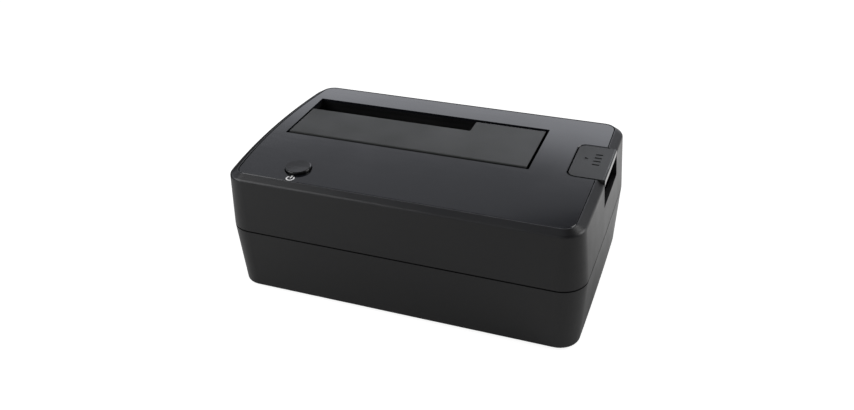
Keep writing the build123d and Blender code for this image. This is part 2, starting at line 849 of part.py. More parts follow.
def door_flap():
    """Flap with its notch, hinge barrel, stiffening ribs and stop ears."""
    front = mouth_front + flap_front_gap
    flap = block(flap_left, flap_right, front, flap_back, flap_under, flap_top)
    for end, radius in ((0, flap_front_round), (-1, flap_back_round)):
        edge = flap.edges().filter_by(Axis.X).group_by(Axis.Z)[-1].sort_by(Axis.Y)[end]
        flap = fillet(edge, radius)
    flap -= block(
        flap_left - past, notch_right,
        notch_front, flap_back + past,
        flap_under - past, flap_top + past,
    )
    corner = flap.edges().filter_by(Axis.Z).group_by(Axis.X)[1]
    flap = fillet(corner, flap_notch_round)
    # ribs under the free edges, and short ones from the hinge to the notch
    low = flap_under - flap_rib_depth
    rib_back = flap_back - past
    flap += block(
        flap_left + flap_rib_set, notch_right, notch_front - flap_rib, notch_front, low, flap_under
    )
    flap += block(notch_right, notch_right + flap_rib, notch_front - flap_rib, rib_back, low, flap_under)
    flap += block(
        notch_right, flap_right - flap_rib_set, rib_back - flap_rib, rib_back, low, flap_under
    )
    pitch = (flap_right - flap_left - 2 * flap_rib_inset) / (flap_rib_count - 1)
    for i in range(flap_rib_count):
        x = flap_left + flap_rib_inset + i * pitch
        flap += block(x - flap_rib / 2, x + flap_rib / 2, hinge_y, notch_front, low, flap_under)
    # barrel round the rod, with room for the spring
    for x0, x1 in (
        (flap_left + hinge_barrel_inset, spring_gap_left),
        (spring_gap_right, flap_right - hinge_barrel_inset),
    ):
        flap += rod_x(x0, x1, hinge_y, hinge_z, hinge_barrel_radius)
        flap += block(
            x0, x1, hinge_y - hinge_barrel_radius, hinge_y + hinge_barrel_radius,
            hinge_z, flap_under + weld,
        )
    relief = hinge_barrel_radius + 2 * hinge_clearance
    flap -= rod_x(spring_gap_left, spring_gap_right, hinge_y, hinge_z, relief)
    flap -= rod_x(flap_left, flap_right, hinge_y, hinge_z, hinge_rod_radius + hinge_clearance)
    # stop ears that meet the underside of the deck
    top = deck_under - stop_clearance
    low = top - stop_ear_thickness
    y0 = notch_front - stop_ear_set
    y1 = y0 + stop_ear_length
    left_root, right_root = flap_left + stop_ear_root, flap_right - stop_ear_root
    flap += block(flap_left, left_root, y0, y1, low, flap_under)
    flap += block(right_root, flap_right, y0, y1, low, flap_under)
    flap += block(mouth_left - stop_ear_reach, left_root, y0, y1, low, top)
    return flap + block(right_root, mouth_right + stop_ear_reach, y0, y1, low, top)


def hinge_rod():
    rod = rod_x(well_left - well_wall, well_right + well_wall, hinge_y, hinge_z, hinge_rod_radius)
    return chamfer(rod.edges().filter_by(GeomType.CIRCLE), hinge_rod_bevel)


def flap_spring():
    """Torsion spring on the rod. One leg lies on the well's front wall and one under the flap."""
    wire = flap_spring_wire
    radius = hinge_rod_radius + flap_spring_play + wire
    left = flap_spring_x - flap_spring_width / 2
    spring = Rot(0, 90, 0) * coil(radius, wire, flap_spring_width, flap_spring_turns)
    spring = Pos(left, hinge_y, hinge_z) * spring
    # the coil starts and ends straight below the rod
    leg_z = hinge_z - radius
    fixed_x = left + wire
    free_x = left + flap_spring_width - wire
    overlap = wire / 2
    free_end = hinge_y + flap_spring_leg
    spring += rod_y(fixed_x, well_front + wire, hinge_y + overlap, leg_z, wire)
    spring += rod_y(free_x, hinge_y - overlap, free_end, leg_z, wire)
    return spring + post(free_x, free_end - wire, leg_z, flap_under - overlap, wire)


# Eject tab and rocker

def eject_tab():
    """Push tab: a level cap with a rounded lip, a skirt behind the pocket, and a stem."""
    rise = face - tab_lip_bottom
    cap = extrude(Pos(0, 0, tab_lip_bottom) * plan(*top_inset(shoulder)), rise)
    cap &= extrude(Pos(0, 0, tab_lip_bottom) * tab_outline(0), rise)
    cap = fillet(top_face(cap).edges().sort_by(Axis.X)[-1], tab_lip_round)
    # neck through the deck, and the flange that stops the cap under it
    flange_top = deck_under - stop_clearance
    front, back = tab_front + tab_side_room, tab_back - tab_side_room
    neck_rise = tab_lip_bottom + weld - flange_top
    neck = extrude(Pos(0, 0, flange_top) * tab_outline(-tab_neck_inset), neck_rise)
    cap += neck & block(0, skirt_face, -depth, depth, 0, face)
    cap += block(
        tab_left - tab_flange, skirt_face, front, back, flange_top - tab_flange_thickness, flange_top
    )
    # hollow from below, in front of the stem
    inside = skirt_face - skirt_thickness
    cap -= block(
        tab_left + tab_wall, inside,
        front + tab_wall, stem_front,
        flange_top - tab_flange_thickness - past, face - tab_thickness,
    )
    skirt = block(inside, skirt_face, front, back, skirt_bottom, tab_lip_bottom + weld)
    stem = block(stem_left, inside, stem_front, stem_back, skirt_bottom, flange_top)
    stem_right = stem_left + stem_width
    stem += block(stem_left, stem_right, stem_front, stem_back, stem_bottom, skirt_bottom)
    shelf_front = tab_spring_y - tab_spring_shelf_side
    shelf_top = skirt_bottom + tab_spring_shelf
    shelf = block(stem_left, skirt_face, shelf_front, stem_front, skirt_bottom, shelf_top)
    locator_end = skirt_bottom - tab_locator
    locator = post(tab_spring_x, tab_spring_y, locator_end, skirt_bottom, tab_post_radius)
    return cap + skirt + stem + shelf + locator - tab_marks()


def tab_marks():
    """Four short grip bars and a small arrowhead, to be sunk into the tab's top."""
    low = face - tab_mark_depth
    x = length / 2 - tab_mark_set
    half_length, half_width = tab_mark_length / 2, tab_mark_width / 2
    marks = []
    for i in range(tab_mark_count):
        y = tab_mark_y + (i - (tab_mark_count - 1) / 2) * tab_mark_pitch
        marks.append(
            block(x - half_length, x + half_length, y - half_width, y + half_width, low, face + past)
        )
    size = tab_arrow_size
    arrow = make_face(Polyline((0.9 * size, 0), (-0.7 * size, size), (-0.7 * size, -size), close=True))
    marks.append(Pos(tab_left + tab_arrow_set, tab_mark_y, low) * extrude(arrow, past))
    return marks


def tab_spring():
    height = skirt_bottom - tab_post_seat
    spring = coil(tab_spring_radius, tab_spring_wire, height, tab_spring_turns)
    return Pos(tab_spring_x, tab_spring_y, tab_post_seat) * spring


def eject_rocker():
    """Lever under the well: the stem pushes its nose down, and its head lifts the drive."""
    arm_low = rocker_arm_top - rocker_arm
    head_left = rocker_head_x - rocker_head_width / 2
    root_x = head_left + rocker_head_width
    nose_high = nose_top - rocker_nose_radius / 2
    arm = make_face(
        Polyline(
            (root_x, arm_low),
            (rocker_pivot_x - rocker_bend - past, arm_low),
            (rocker_pivot_x, rocker_pivot_z - rocker_hub_radius),
            (rocker_nose_x, nose_top - 2 * rocker_nose_radius),
            (rocker_nose_x, nose_high),
            (rocker_pivot_x + rocker_hub_radius, rocker_pivot_z + rocker_sink),
            (rocker_pivot_x - rocker_bend, rocker_arm_top),
            (root_x, rocker_arm_top),
            close=True,
        )
    )
    front, back = stem_front + rocker_side_gap, stem_back - rocker_side_gap
    lever = Pos(0, back, 0) * extrude(Plane.XZ * arm, back - front)
    hub_front, hub_back = stem_front + rocker_hub_gap, stem_back - rocker_hub_gap
    lever += rod_y(rocker_pivot_x, hub_front, hub_back, rocker_pivot_z, rocker_hub_radius)
    nose_z = nose_top - rocker_nose_radius
    lever += rod_y(rocker_nose_x, front, back, nose_z, rocker_nose_radius)
    lever += block(head_left, root_x, front, rocker_head_back, arm_low, rocker_arm_top)
    pad = block(
        head_left, head_left + rocker_pad_width,
        stem_back + past, rocker_head_back,
        rocker_arm_top, well_floor_top - rocker_pad_gap,
    )
    lever += fillet(pad.edges().filter_by(Axis.Y).group_by(Axis.Z)[-1], rocker_pad_round)
    bore = rocker_pin_radius + hinge_clearance
    return lever - rod_y(rocker_pivot_x, hub_front - past, hub_back + past, rocker_pivot_z, bore)


def rocker_pin():
    (front, _), (_, back) = beside_stem()
    pin = rod_y(rocker_pivot_x, front, back, rocker_pivot_z, rocker_pin_radius)
    return chamfer(pin.edges().filter_by(GeomType.CIRCLE), rocker_pin_bevel)


# Power button and switch

def power_button():
    """Cap with a shallow dish, a skirt, and a stem whose barb sits under the guide's ledge."""
    low = button_top - button_height
    crown_under = button_top - button_crown
    cap = post(button_x, button_y, low, button_top, button_radius)
    cap -= post(button_x, button_y, low, crown_under, button_radius - button_skirt)
    cap = fillet(top_face(cap).edges(), button_edge_round)
    dish_z = button_top - button_dish + button_dish_radius
    cap -= Pos(button_x, button_y, dish_z) * Sphere(button_dish_radius)
    stem_end = switch_top + button_stem_gap
    barb_top = guide_tube_end - button_stem_gap
    cap += post(button_x, button_y, stem_end, crown_under + weld, button_stem_radius)
    return cap + post(button_x, button_y, stem_end, barb_top, button_stem_radius + button_barb)


def button_spring():
    seat = guide_tube_end + guide_ledge
    height = button_top - button_crown - seat
    spring = coil(button_spring_radius, button_spring_wire, height, button_spring_turns)
    return Pos(button_x, button_y, seat) * spring


def power_switch():
    half = switch_size / 2
    body = block(
        button_x - half, button_x + half,
        button_y - half, button_y + half,
        switch_board_top, switch_body_top,
    )
    body = fillet(body.edges().filter_by(Axis.Z), switch_corner)
    bore_end = switch_body_top - switch_bore_depth
    bore = switch_plunger_radius + switch_bore_gap
    return body - post(button_x, button_y, bore_end, switch_body_top, bore)


def switch_plunger():
    low = switch_body_top - switch_bore_depth + button_travel + button_stem_gap
    plunger = post(button_x, button_y, low, switch_top, switch_plunger_radius)
    return fillet(top_face(plunger).edges(), switch_plunger_round)


def switch_board():
    half_l, half_d = switch_board_length / 2, switch_board_depth / 2
    board = block(
        button_x - half_l, button_x + half_l,
        button_y - half_d, button_y + half_d,
        switch_board_under, switch_board_top,
    )
    return drilled(board, switch_posts, switch_board_under, switch_board_top)


def drilled(board, places, low, high):
    """Board with its corners rounded and its screw holes bored."""
    board = fillet(board.edges().filter_by(Axis.Z), board_corner)
    for x, y in places:
        board -= post(x, y, low, high, board_screw_radius + board_screw_room)
    return board


# Boards and what they carry

def main_board():
    """Board on the base's posts, with an arm out to the data socket."""
    board = block(board_left, board_right, board_front, board_back, board_under, board_top)
    arm_front = socket_face - usb_depth - main_board_arm_set
    arm_right = usb_x + usb_width / 2 + past
    board += block(board_right, arm_right, arm_front, board_back, board_under, board_top)
    return drilled(board, board_posts, board_under, board_top)


def drive_board():
    board = block(
        drive_board_left, drive_board_right,
        connector_middle - drive_board_front, connector_middle + drive_board_back,
        drive_board_under, drive_board_top,
    )
    return drilled(board, drive_board_posts, drive_board_under, drive_board_top)


def board_link():
    """Two-row connector between the drive board and the main board."""
    half = link_depth / 2
    return block(
        link_left, link_right,
        connector_middle - half, connector_middle + half,
        board_top, drive_board_under,
    )


def slot_spans():
    """Left and right of the signal slot and of the power slot in the drive connector."""
    left = connector_left + slot_end_left
    signal = signal_contacts * contact_pitch + signal_spare
    power = power_contacts * contact_pitch + power_spare
    second = left + signal + slot_divider
    return [(left, left + signal), (second, second + power)]


def drive_connector():
    """Upright receptacle: two L-shaped slots between guide horns."""
    spans = slot_spans()
    rim_top = well_floor_top + slot_depth + slot_rise
    half_slot = slot_width / 2
    half_rim = slot_width + slot_wall
    body = connector_block(0, drive_board_top, well_floor_top)
    body += block(
        spans[0][0] - slot_rim, spans[1][1] + slot_rim,
        connector_middle - half_rim, connector_middle + half_rim,
        well_floor_top, rim_top,
    )
    for x0, x1 in spans:
        slot_back = connector_middle + half_slot
        slot_front = connector_middle - half_slot
        body -= block(x0, x1, slot_front, slot_back, well_floor_top, rim_top)
        key_front = connector_middle - slot_width
        body -= block(x0, x0 + slot_key, key_front, slot_front, well_floor_top, rim_top)
    half_horn = horn_depth / 2
    for x in (connector_left + horn_inset, connector_right - horn_inset - horn_width):
        horn = block(
            x, x + horn_width,
            connector_middle - half_horn, connector_middle + half_horn,
            well_floor_top, rim_top + horn_rise,
        )
        body += chamfer(top_face(horn).edges(), horn_bevel)
    return body


def drive_contacts():
    """Sprung contacts on the back wall of each slot, one to a pin."""
    wall_y = connector_middle + slot_width / 2
    top = well_floor_top + contact_height
    half = contact_width / 2
    made = []
    for (x0, x1), count in zip(slot_spans(), (signal_contacts, power_contacts)):
        first = (x0 + x1 - (count - 1) * contact_pitch) / 2
        for i in range(count):
            x = first + i * contact_pitch
            made.append(block(x - half, x + half, wall_y - contact_thickness, wall_y, well_floor_top, top))
    return made


def usb_outline(grow):
    """Face of the data socket: the square bay with cut top corners and the extra bay above it."""
    half = (usb_bay_width + grow) / 2
    rise = (usb_bay_height + grow) / 2
    low, high = usb_middle - rise, usb_middle + rise
    bay = make_face(
        Polyline(
            (usb_x - half, low),
            (usb_x + half, low),
            (usb_x + half, high - usb_bay_cut),
            (usb_x + half - usb_bay_cut, high),
            (usb_x - half + usb_bay_cut, high),
            (usb_x - half, high - usb_bay_cut),
            close=True,
        )
    )
    # the upper bay starts a little below the square one's top, so that the two join
    upper = Rectangle(usb_top_width + grow, usb_top_height + bite)
    return bay + Pos(usb_x, high + (usb_top_height - bite) / 2) * upper


def usb_socket():
    """Drawn metal can of the data socket, open at the back of the dock."""
    half = usb_width / 2
    can = block(
        usb_x - half, usb_x + half,
        socket_face - usb_depth, socket_face,
        board_top, board_top + usb_height,
    )
    can = fillet(can.edges().filter_by(Axis.Y), usb_round)
    bay = extrude(Plane.XZ * usb_outline(0), usb_depth - usb_skin)
    return can - Pos(0, socket_face, 0) * bay


def usb_insert():
    """Plastic block at the back of the can, with its two contact tongues."""
    back = socket_face - usb_depth + usb_skin
    plug = extrude(Plane.XZ * usb_outline(-usb_insert_gap), usb_insert_depth)
    body = Pos(0, back + usb_insert_depth, 0) * plug
    root = back + usb_insert_depth - past
    tip = socket_face - usb_tongue_set
    half_w, half_h = usb_tongue_width / 2, usb_tongue_height / 2
    body += block(
        usb_x - half_w, usb_x + half_w, root, tip, usb_middle - half_h, usb_middle + half_h
    )
    half_w = usb_blade_width / 2
    blade_top = usb_blade_low + usb_blade_height
    return body + block(
        usb_x - half_w, usb_x + half_w, root, tip - usb_skin, usb_blade_low, blade_top
    )


def usb_contacts():
    """Two contacts on each face of the lower tongue and five under the upper one."""
    tip = socket_face - usb_tongue_set - past
    root = tip - usb_contact_length
    thin = usb_contact_thickness
    high = usb_middle + usb_tongue_height / 2
    low = usb_middle - usb_tongue_height / 2
    half = usb_contact_width / 2
    made = []
    for x in (usb_x - usb_contact_spread / 2, usb_x + usb_contact_spread / 2):
        made.append(block(x - half, x + half, root, tip, high, high + thin))
        made.append(block(x - half, x + half, root, tip, low - thin, low))
    half = usb_blade_contact_width / 2
    for i in range(usb_blade_contacts):
        x = usb_x + (i - (usb_blade_contacts - 1) / 2) * usb_blade_contact_pitch
        made.append(
            block(x - half, x + half, root, tip - usb_skin, usb_blade_low - thin, usb_blade_low)
        )
    return made


def power_jack():
    half = jack_width / 2
    body = block(
        jack_x - half, jack_x + half,
        socket_face - jack_depth, socket_face,
        board_top, board_top + jack_height,
    )
    body = fillet(body.edges().filter_by(Axis.Y).group_by(Axis.Z)[-1], jack_round)
    bore_z = board_top + jack_height / 2
    return body - rod_y(jack_x, socket_face - jack_bore_depth, socket_face, bore_z, jack_bore)


def jack_pin_rod():
    z = board_top + jack_height / 2
    tip = socket_face - jack_pin_set
    pin = rod_y(jack_x, socket_face - jack_bore_depth, tip, z, jack_pin)
    return fillet(pin.faces().sort_by(Axis.Y)[-1].edges(), jack_pin_round)


def on_board(share, back, size_x, size_y, height, lift=0.0):
    """Block on the main board, a share of the way along it and so far back from its front edge."""
    x = board_left + share * (board_right - board_left)
    y = board_front + back
    low = board_top + lift
    return block(x - size_x / 2, x + size_x / 2, y - size_y / 2, y + size_y / 2, low, low + height)


def bridge_chip():
    """Flat square controller with a row of legs on each side."""
    chip = on_board(chip_share, chip_back, chip_size, chip_size, chip_height, chip_lift)
    middle = chip.center()
    chip = chamfer(top_face(chip).edges(), chip_bevel)
    legs = []
    for i in range(chip_legs):
        along = (i - (chip_legs - 1) / 2) * chip_leg_pitch
        leg = Pos((chip_size + chip_leg_reach) / 2, along, chip_leg / 2) * Box(
            chip_leg_reach, chip_leg, chip_leg
        )
        for turn in range(4):
            legs.append(Pos(middle.X, middle.Y, board_top) * Rot(0, 0, 90 * turn) * leg)
    return chip + legs


def flash_chip():
    chip = on_board(flash_share, flash_back, flash_length, flash_depth, flash_height)
    return chamfer(top_face(chip).edges(), chip_bevel)


def crystal():
    can = on_board(crystal_share, crystal_back, crystal_length, crystal_depth, crystal_height)
    end_round = crystal_depth / 2 - screw_fit
    return fillet(can.edges().filter_by(Axis.Z), end_round)


def inductors():
    made = []
    for back in inductor_backs:
        body = on_board(inductor_share, back, inductor_size, inductor_size, inductor_height)
        made.append(fillet(body.edges().filter_by(Axis.Z), inductor_round))
    return made


def capacitors():
    made = []
    for share, back in can_places:
        x = board_left + share * (board_right - board_left)
        can = post(x, board_front + back, board_top, board_top + can_height, can_radius)
        made.append(fillet(top_face(can).edges(), can_round))
    return made


def lead_points():
    """Route of the switch lead, from the switch board's plug down to the main board's."""
    x, y = button_x + lead_start_x, button_y + lead_start_y
    end_x, end_y = board_left + plug_set_x, board_front + plug_set_y
    top = switch_board_under - plug_height
    bottom = board_top + plug_height
    return [
        (x, y, top),
        (x, y, top - lead_drop),
        (end_x, end_y, bottom + lead_rise),
        (end_x, end_y, bottom),
    ]


def plug(x, y, z):
    half_l, half_d = plug_length / 2, plug_depth / 2
    return block(x - half_l, x + half_l, y - half_d, y + half_d, z, z + plug_height)


def plugs():
    """The lead's two plugs, one under the switch board and one on the main board."""
    start, end = lead_points()[0], lead_points()[-1]
    return plug(*start), plug(end[0], end[1], board_top)


def switch_lead():
    points = [Vector(*point) for point in lead_points()]
    radii = []
    for before, corner, after in zip(points, points[1:], points[2:]):
        run_in, run_out = corner - before, after - corner
        half_turn = radians(run_in.get_angle(run_out) / 2)
        shorter = min(run_in.length, run_out.length)
        radii.append(0.45 * shorter / max(tan(half_turn), 0.05))
    path = FilletPolyline(*points, radius=radii)
    section = Plane(origin=path @ 0, z_dir=path % 0) * Circle(lead_radius)
    return sweep(section, path=path)


def main():
    os.makedirs("parts", exist_ok=True)
    switch_board_plug, main_board_plug = plugs()
    parts = {
        "upper_shell": upper_shell(),
        "top_panel": top_panel(),
        "base_shell": base_shell(),
        "drive_well": drive_well(),
        "door_flap": door_flap(),
        "flap_hinge_rod": hinge_rod(),
        "flap_spring": flap_spring(),
        "eject_tab": eject_tab(),
        "eject_tab_spring": tab_spring(),
        "eject_rocker": eject_rocker(),
        "rocker_pin": rocker_pin(),
        "power_button": power_button(),
        "power_button_spring": button_spring(),
        "power_switch": power_switch(),
        "switch_plunger": switch_plunger(),
        "switch_board": switch_board(),
        "switch_lead": switch_lead(),
        "switch_board_plug": switch_board_plug,
        "main_board_plug": main_board_plug,
        "main_board": main_board(),
        "drive_board": drive_board(),
        "board_link": board_link(),
        "drive_connector": drive_connector(),
        "drive_contacts": drive_contacts(),
        "usb_socket": usb_socket(),
        "usb_insert": usb_insert(),
        "usb_contacts": usb_contacts(),
        "power_jack": power_jack(),
        "power_jack_pin": jack_pin_rod(),
        "bridge_chip": bridge_chip(),
        "flash_chip": flash_chip(),
        "crystal": crystal(),
        "inductors": inductors(),
        "capacitors": capacitors(),
        **screw_sets(),
    }
    names = ("front_left", "front_right", "back_left", "back_right")
    for name, (x, y) in zip(names, feet):
        parts["foot_" + name] = rubber_foot(x, y)
    for name, shape in parts.items():
        if isinstance(shape, list):
            shape = Compound(children=[solid for item in shape for solid in item.solids()])
        export_step(shape, f"parts/{name}.step")


main()
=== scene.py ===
# Looks of a hard drive docking station: finishes for its CAD nodes, the small pieces that are too fine
# for the CAD model, and a pale studio with the camera at the photograph's angle.
#
# Each piece has an operator, and every size and colour that a user would change is a property of the
# scene, listed in a panel of the 3D view's sidebar.

import json
import math

import bmesh
import bpy
from mathutils import Matrix, Vector

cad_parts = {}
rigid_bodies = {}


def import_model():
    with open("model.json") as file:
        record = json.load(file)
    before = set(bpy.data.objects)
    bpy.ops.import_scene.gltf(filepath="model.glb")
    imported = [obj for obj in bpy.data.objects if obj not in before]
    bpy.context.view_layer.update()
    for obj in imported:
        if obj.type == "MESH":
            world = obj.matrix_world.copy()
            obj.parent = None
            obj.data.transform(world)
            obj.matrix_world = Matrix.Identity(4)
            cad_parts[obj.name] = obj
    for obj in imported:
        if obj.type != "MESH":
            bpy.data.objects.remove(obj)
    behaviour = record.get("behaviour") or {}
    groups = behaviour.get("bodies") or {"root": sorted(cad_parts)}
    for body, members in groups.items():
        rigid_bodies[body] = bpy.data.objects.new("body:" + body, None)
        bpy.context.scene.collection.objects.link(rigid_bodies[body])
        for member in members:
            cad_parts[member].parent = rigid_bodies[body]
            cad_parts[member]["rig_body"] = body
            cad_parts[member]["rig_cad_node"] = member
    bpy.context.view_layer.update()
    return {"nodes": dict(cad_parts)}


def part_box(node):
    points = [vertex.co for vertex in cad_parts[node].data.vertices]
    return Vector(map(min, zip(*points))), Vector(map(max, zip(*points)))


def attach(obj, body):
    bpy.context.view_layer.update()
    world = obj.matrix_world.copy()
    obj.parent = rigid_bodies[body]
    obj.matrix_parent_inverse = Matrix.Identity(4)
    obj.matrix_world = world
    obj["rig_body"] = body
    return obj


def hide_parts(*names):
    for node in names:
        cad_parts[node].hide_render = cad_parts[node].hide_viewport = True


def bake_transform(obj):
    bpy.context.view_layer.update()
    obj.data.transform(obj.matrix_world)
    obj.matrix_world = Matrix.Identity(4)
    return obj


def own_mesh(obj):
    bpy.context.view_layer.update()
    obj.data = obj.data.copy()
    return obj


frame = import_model()
nodes = frame["nodes"]

bl_info = {
    "name": "Drive Dock Looks",
    "version": (1, 0, 0),
    "blender": (4, 5, 0),
    "location": "3D View > Sidebar > Drive Dock",
    "description": "Finishes, fine pieces and studio for a hard drive docking station",
    "category": "Object",
}

MM = 0.001
WHITE = (1, 1, 1, 1)
BLACK = (0, 0, 0, 1)
# a noise texture's values lie between these nearly everywhere
NOISE_LOW, NOISE_HIGH = 0.3, 0.7


def linear(code):
    """Linear RGB of an sRGB colour written as #rrggbb."""
    shares = [int(code[i : i + 2], 16) / 255 for i in (1, 3, 5)]
    return [s / 12.92 if s <= 0.04045 else ((s + 0.055) / 1.055) ** 2.4 for s in shares]


def shade(colour, share):
    """The colour made lighter or darker, as the RGBA that a socket takes."""
    return [min(1.0, c * share) for c in colour[:3]] + [1.0]


def per_mm(size):
    """Texture scale that makes one feature about this many millimetres."""
    return 1 / (size * MM)


def colour_property(name, description, code):
    return bpy.props.FloatVectorProperty(
        name=name, description=description, subtype="COLOR", size=3, min=0, max=1, default=linear(code)
    )


def size_property(name, description, millimetres):
    return bpy.props.FloatProperty(
        name=name, description=description, subtype="DISTANCE", unit="LENGTH", default=millimetres * MM
    )


def angle_property(name, description, radians):
    return bpy.props.FloatProperty(
        name=name, description=description, subtype="ANGLE", unit="ROTATION", default=radians
    )


def power_property(name, description, watts):
    return bpy.props.FloatProperty(
        name=name, description=description, subtype="POWER", unit="POWER", default=watts
    )


class DockColours(bpy.types.PropertyGroup):
    shell: colour_property("Shell", "Satin black of the two case halves", "#111112")
    panel: colour_property("Panel", "Gloss black of the top panel", "#141519")
    button: colour_property("Button", "Gloss black of the power button", "#0e0e0f")
    flap: colour_property("Flap", "Charcoal of the drive bay's flap", "#2f302e")
    tab: colour_property("Tab", "Charcoal of the eject tab", "#262726")
    bay: colour_property("Bay", "Plain black of the parts inside", "#0c0c0d")
    connector: colour_property("Connector", "Black of the drive connector", "#101011")
    socket: colour_property("Socket insert", "Blue of the data socket's insert", "#1d5aa8")
    plug: colour_property("Plugs", "Off-white of the lead's plugs", "#ddd8c8")
    board: colour_property("Boards", "Green of the boards' solder mask", "#0f4a26")
    rubber: colour_property("Feet", "Black of the rubber feet", "#1b1b1b")
    ink: colour_property("Sign", "White of the printed standby sign", "#f2f2f2")
    floor: colour_property("Floor", "White of the studio floor", "#e6e6e6")


class DockSign(bpy.types.PropertyGroup):
    radius: size_property("Radius", "Outer radius of the sign's ring", 1.7)
    stroke: size_property("Stroke", "Width of the ring and the bar", 0.55)
    rise: size_property("Rise", "Thickness of the ink", 0.03)
    bar: size_property("Bar", "Length of the bar", 1.9)
    reach: size_property("Reach", "How far the bar stands out of the ring", 0.25)
    shift: size_property("Shift", "How far right of the button's middle it stands", 0.4)
    gap: size_property("Gap", "From the button's middle to the ring's middle", 7.55)
    opening: angle_property("Opening", "Angle that the ring leaves open at the bar", math.radians(84))


class DockStudio(bpy.types.PropertyGroup):
    fill: bpy.props.FloatProperty(
        name="Fill", description="Strength of the soft light from all round", default=0.35, min=0
    )
    key: power_property("Key", "Power of the soft lamp at the front left", 0.9)
    end: power_property("End", "Power of the soft lamp at the right end", 3.0)
    floor_size: size_property("Floor size", "Side of the square floor", 6000)
    lens: bpy.props.FloatProperty(
        name="Lens", description="Focal length of the camera in millimetres", default=36.543, min=1
    )
    place: bpy.props.FloatVectorProperty(
        name="Place",
        description="Where the camera stands",
        subtype="TRANSLATION",
        unit="LENGTH",
        default=(0.110073, -0.285863, 0.216952),
    )
    heading: angle_property("Heading", "Turn of the camera from straight back to the right", -0.36364)
    tilt: angle_property("Tilt", "How far the camera looks down", 0.55092)
    roll: angle_property("Roll", "Turn of the camera about its own line of sight", -0.02759)
    shift_x: bpy.props.FloatProperty(name="Shift X", description="The lens's shift sideways", default=-0.0079)
    shift_y: bpy.props.FloatProperty(name="Shift Y", description="The lens's shift upwards", default=-0.0057)


def add_node(tree, kind, links=None, **settings):
    """Adds a node, sets its properties, and fills its sockets with values or with links to other sockets."""
    node = tree.nodes.new(kind)
    for name, value in settings.items():
        setattr(node, name, value)
    for name, value in (links or {}).items():
        socket = node.inputs[name]
        if isinstance(value, bpy.types.NodeSocket):
            tree.links.new(value, socket)
        else:
            socket.default_value = value
    return node


def empty_material(name):
    material = bpy.data.materials.new(name)
    material.use_nodes = True
    material.node_tree.nodes.clear()
    return material, material.node_tree


def moulded_plastic(
    name, colour, rough, grain, depth, ior=1.5, spread=0.06, contrast=0.08, painted_shade_band=None, rubbed=None
):
    """Injection-moulded plastic, with its spark-eroded grain's size and depth in millimetres.

    Spread is how far the roughness strays, and contrast how far the grain's tone does. Below a band, given
    as two heights, shade is painted: the colour falls to a tenth and the specular is dimmed, darkening the
    edges there as if they lay in shade. A rubbed edge, given as two places along X, is where fingers have
    polished the grain away.
    """
    cloud_size = 26
    material, tree = empty_material(name)
    place = add_node(tree, "ShaderNodeTexCoord").outputs["Object"]
    pits = add_node(
        tree,
        "ShaderNodeTexNoise",
        {"Vector": place, "Scale": per_mm(grain), "Detail": 3.0, "Roughness": 0.55},
    )
    # slow change of gloss, as the melt cools unevenly and hands polish it
    cloud = add_node(
        tree, "ShaderNodeTexNoise", {"Vector": place, "Scale": per_mm(cloud_size), "Detail": 4.0}
    )
    gloss = add_node(
        tree,
        "ShaderNodeMapRange",
        {
            "Value": cloud.outputs["Fac"],
            "From Min": NOISE_LOW,
            "From Max": NOISE_HIGH,
            "To Min": rough - spread,
            "To Max": rough + spread,
        },
    )
    tone = add_node(
        tree,
        "ShaderNodeMix",
        {
            "Factor": pits.outputs["Fac"],
            "A": shade(colour, 1 - contrast),
            "B": shade(colour, 1 + contrast),
        },
        data_type="RGBA",
    )
    bump = add_node(
        tree, "ShaderNodeBump", {"Height": pits.outputs["Fac"], "Strength": 1.0, "Distance": depth * MM}
    )
    finish = {
        "Base Color": tone.outputs["Result"],
        "Roughness": gloss.outputs["Result"],
        "IOR": ior,
        "Normal": bump.outputs["Normal"],
    }
    if rubbed is not None:
        # a fifth of the roughness is left at the very edge
        across = add_node(tree, "ShaderNodeSeparateXYZ", {"Vector": place}).outputs["X"]
        limits = {"Value": across, "From Min": rubbed[0], "From Max": rubbed[1], "To Min": 1.0, "To Max": 0.2}
        worn = add_node(tree, "ShaderNodeMapRange", limits).outputs["Result"]
        both = add_node(tree, "ShaderNodeMath", {0: gloss.outputs["Result"], 1: worn}, operation="MULTIPLY")
        finish["Roughness"] = both.outputs["Value"]
    if painted_shade_band is not None:
        # painted shade: below the band only a tenth of the colour and a fifth of the sheen are left
        height = add_node(tree, "ShaderNodeSeparateXYZ", {"Vector": place}).outputs["Z"]
        limits = {"Value": height, "From Min": painted_shade_band[0], "From Max": painted_shade_band[1]}
        outside_painted_shade = add_node(tree, "ShaderNodeMapRange", limits).outputs["Result"]
        painted_shade = {"Factor": outside_painted_shade, "A": shade(colour, 0.1), "B": tone.outputs["Result"]}
        finish["Base Color"] = add_node(tree, "ShaderNodeMix", painted_shade, data_type="RGBA").outputs["Result"]
        limits.update({"To Min": 0.1, "To Max": 0.5})
        sheen = add_node(tree, "ShaderNodeMapRange", limits)
        finish["Specular IOR Level"] = sheen.outputs["Result"]
    shader = add_node(tree, "ShaderNodeBsdfPrincipled", finish)
    add_node(tree, "ShaderNodeOutputMaterial", {"Surface": shader.outputs["BSDF"]})
    return material


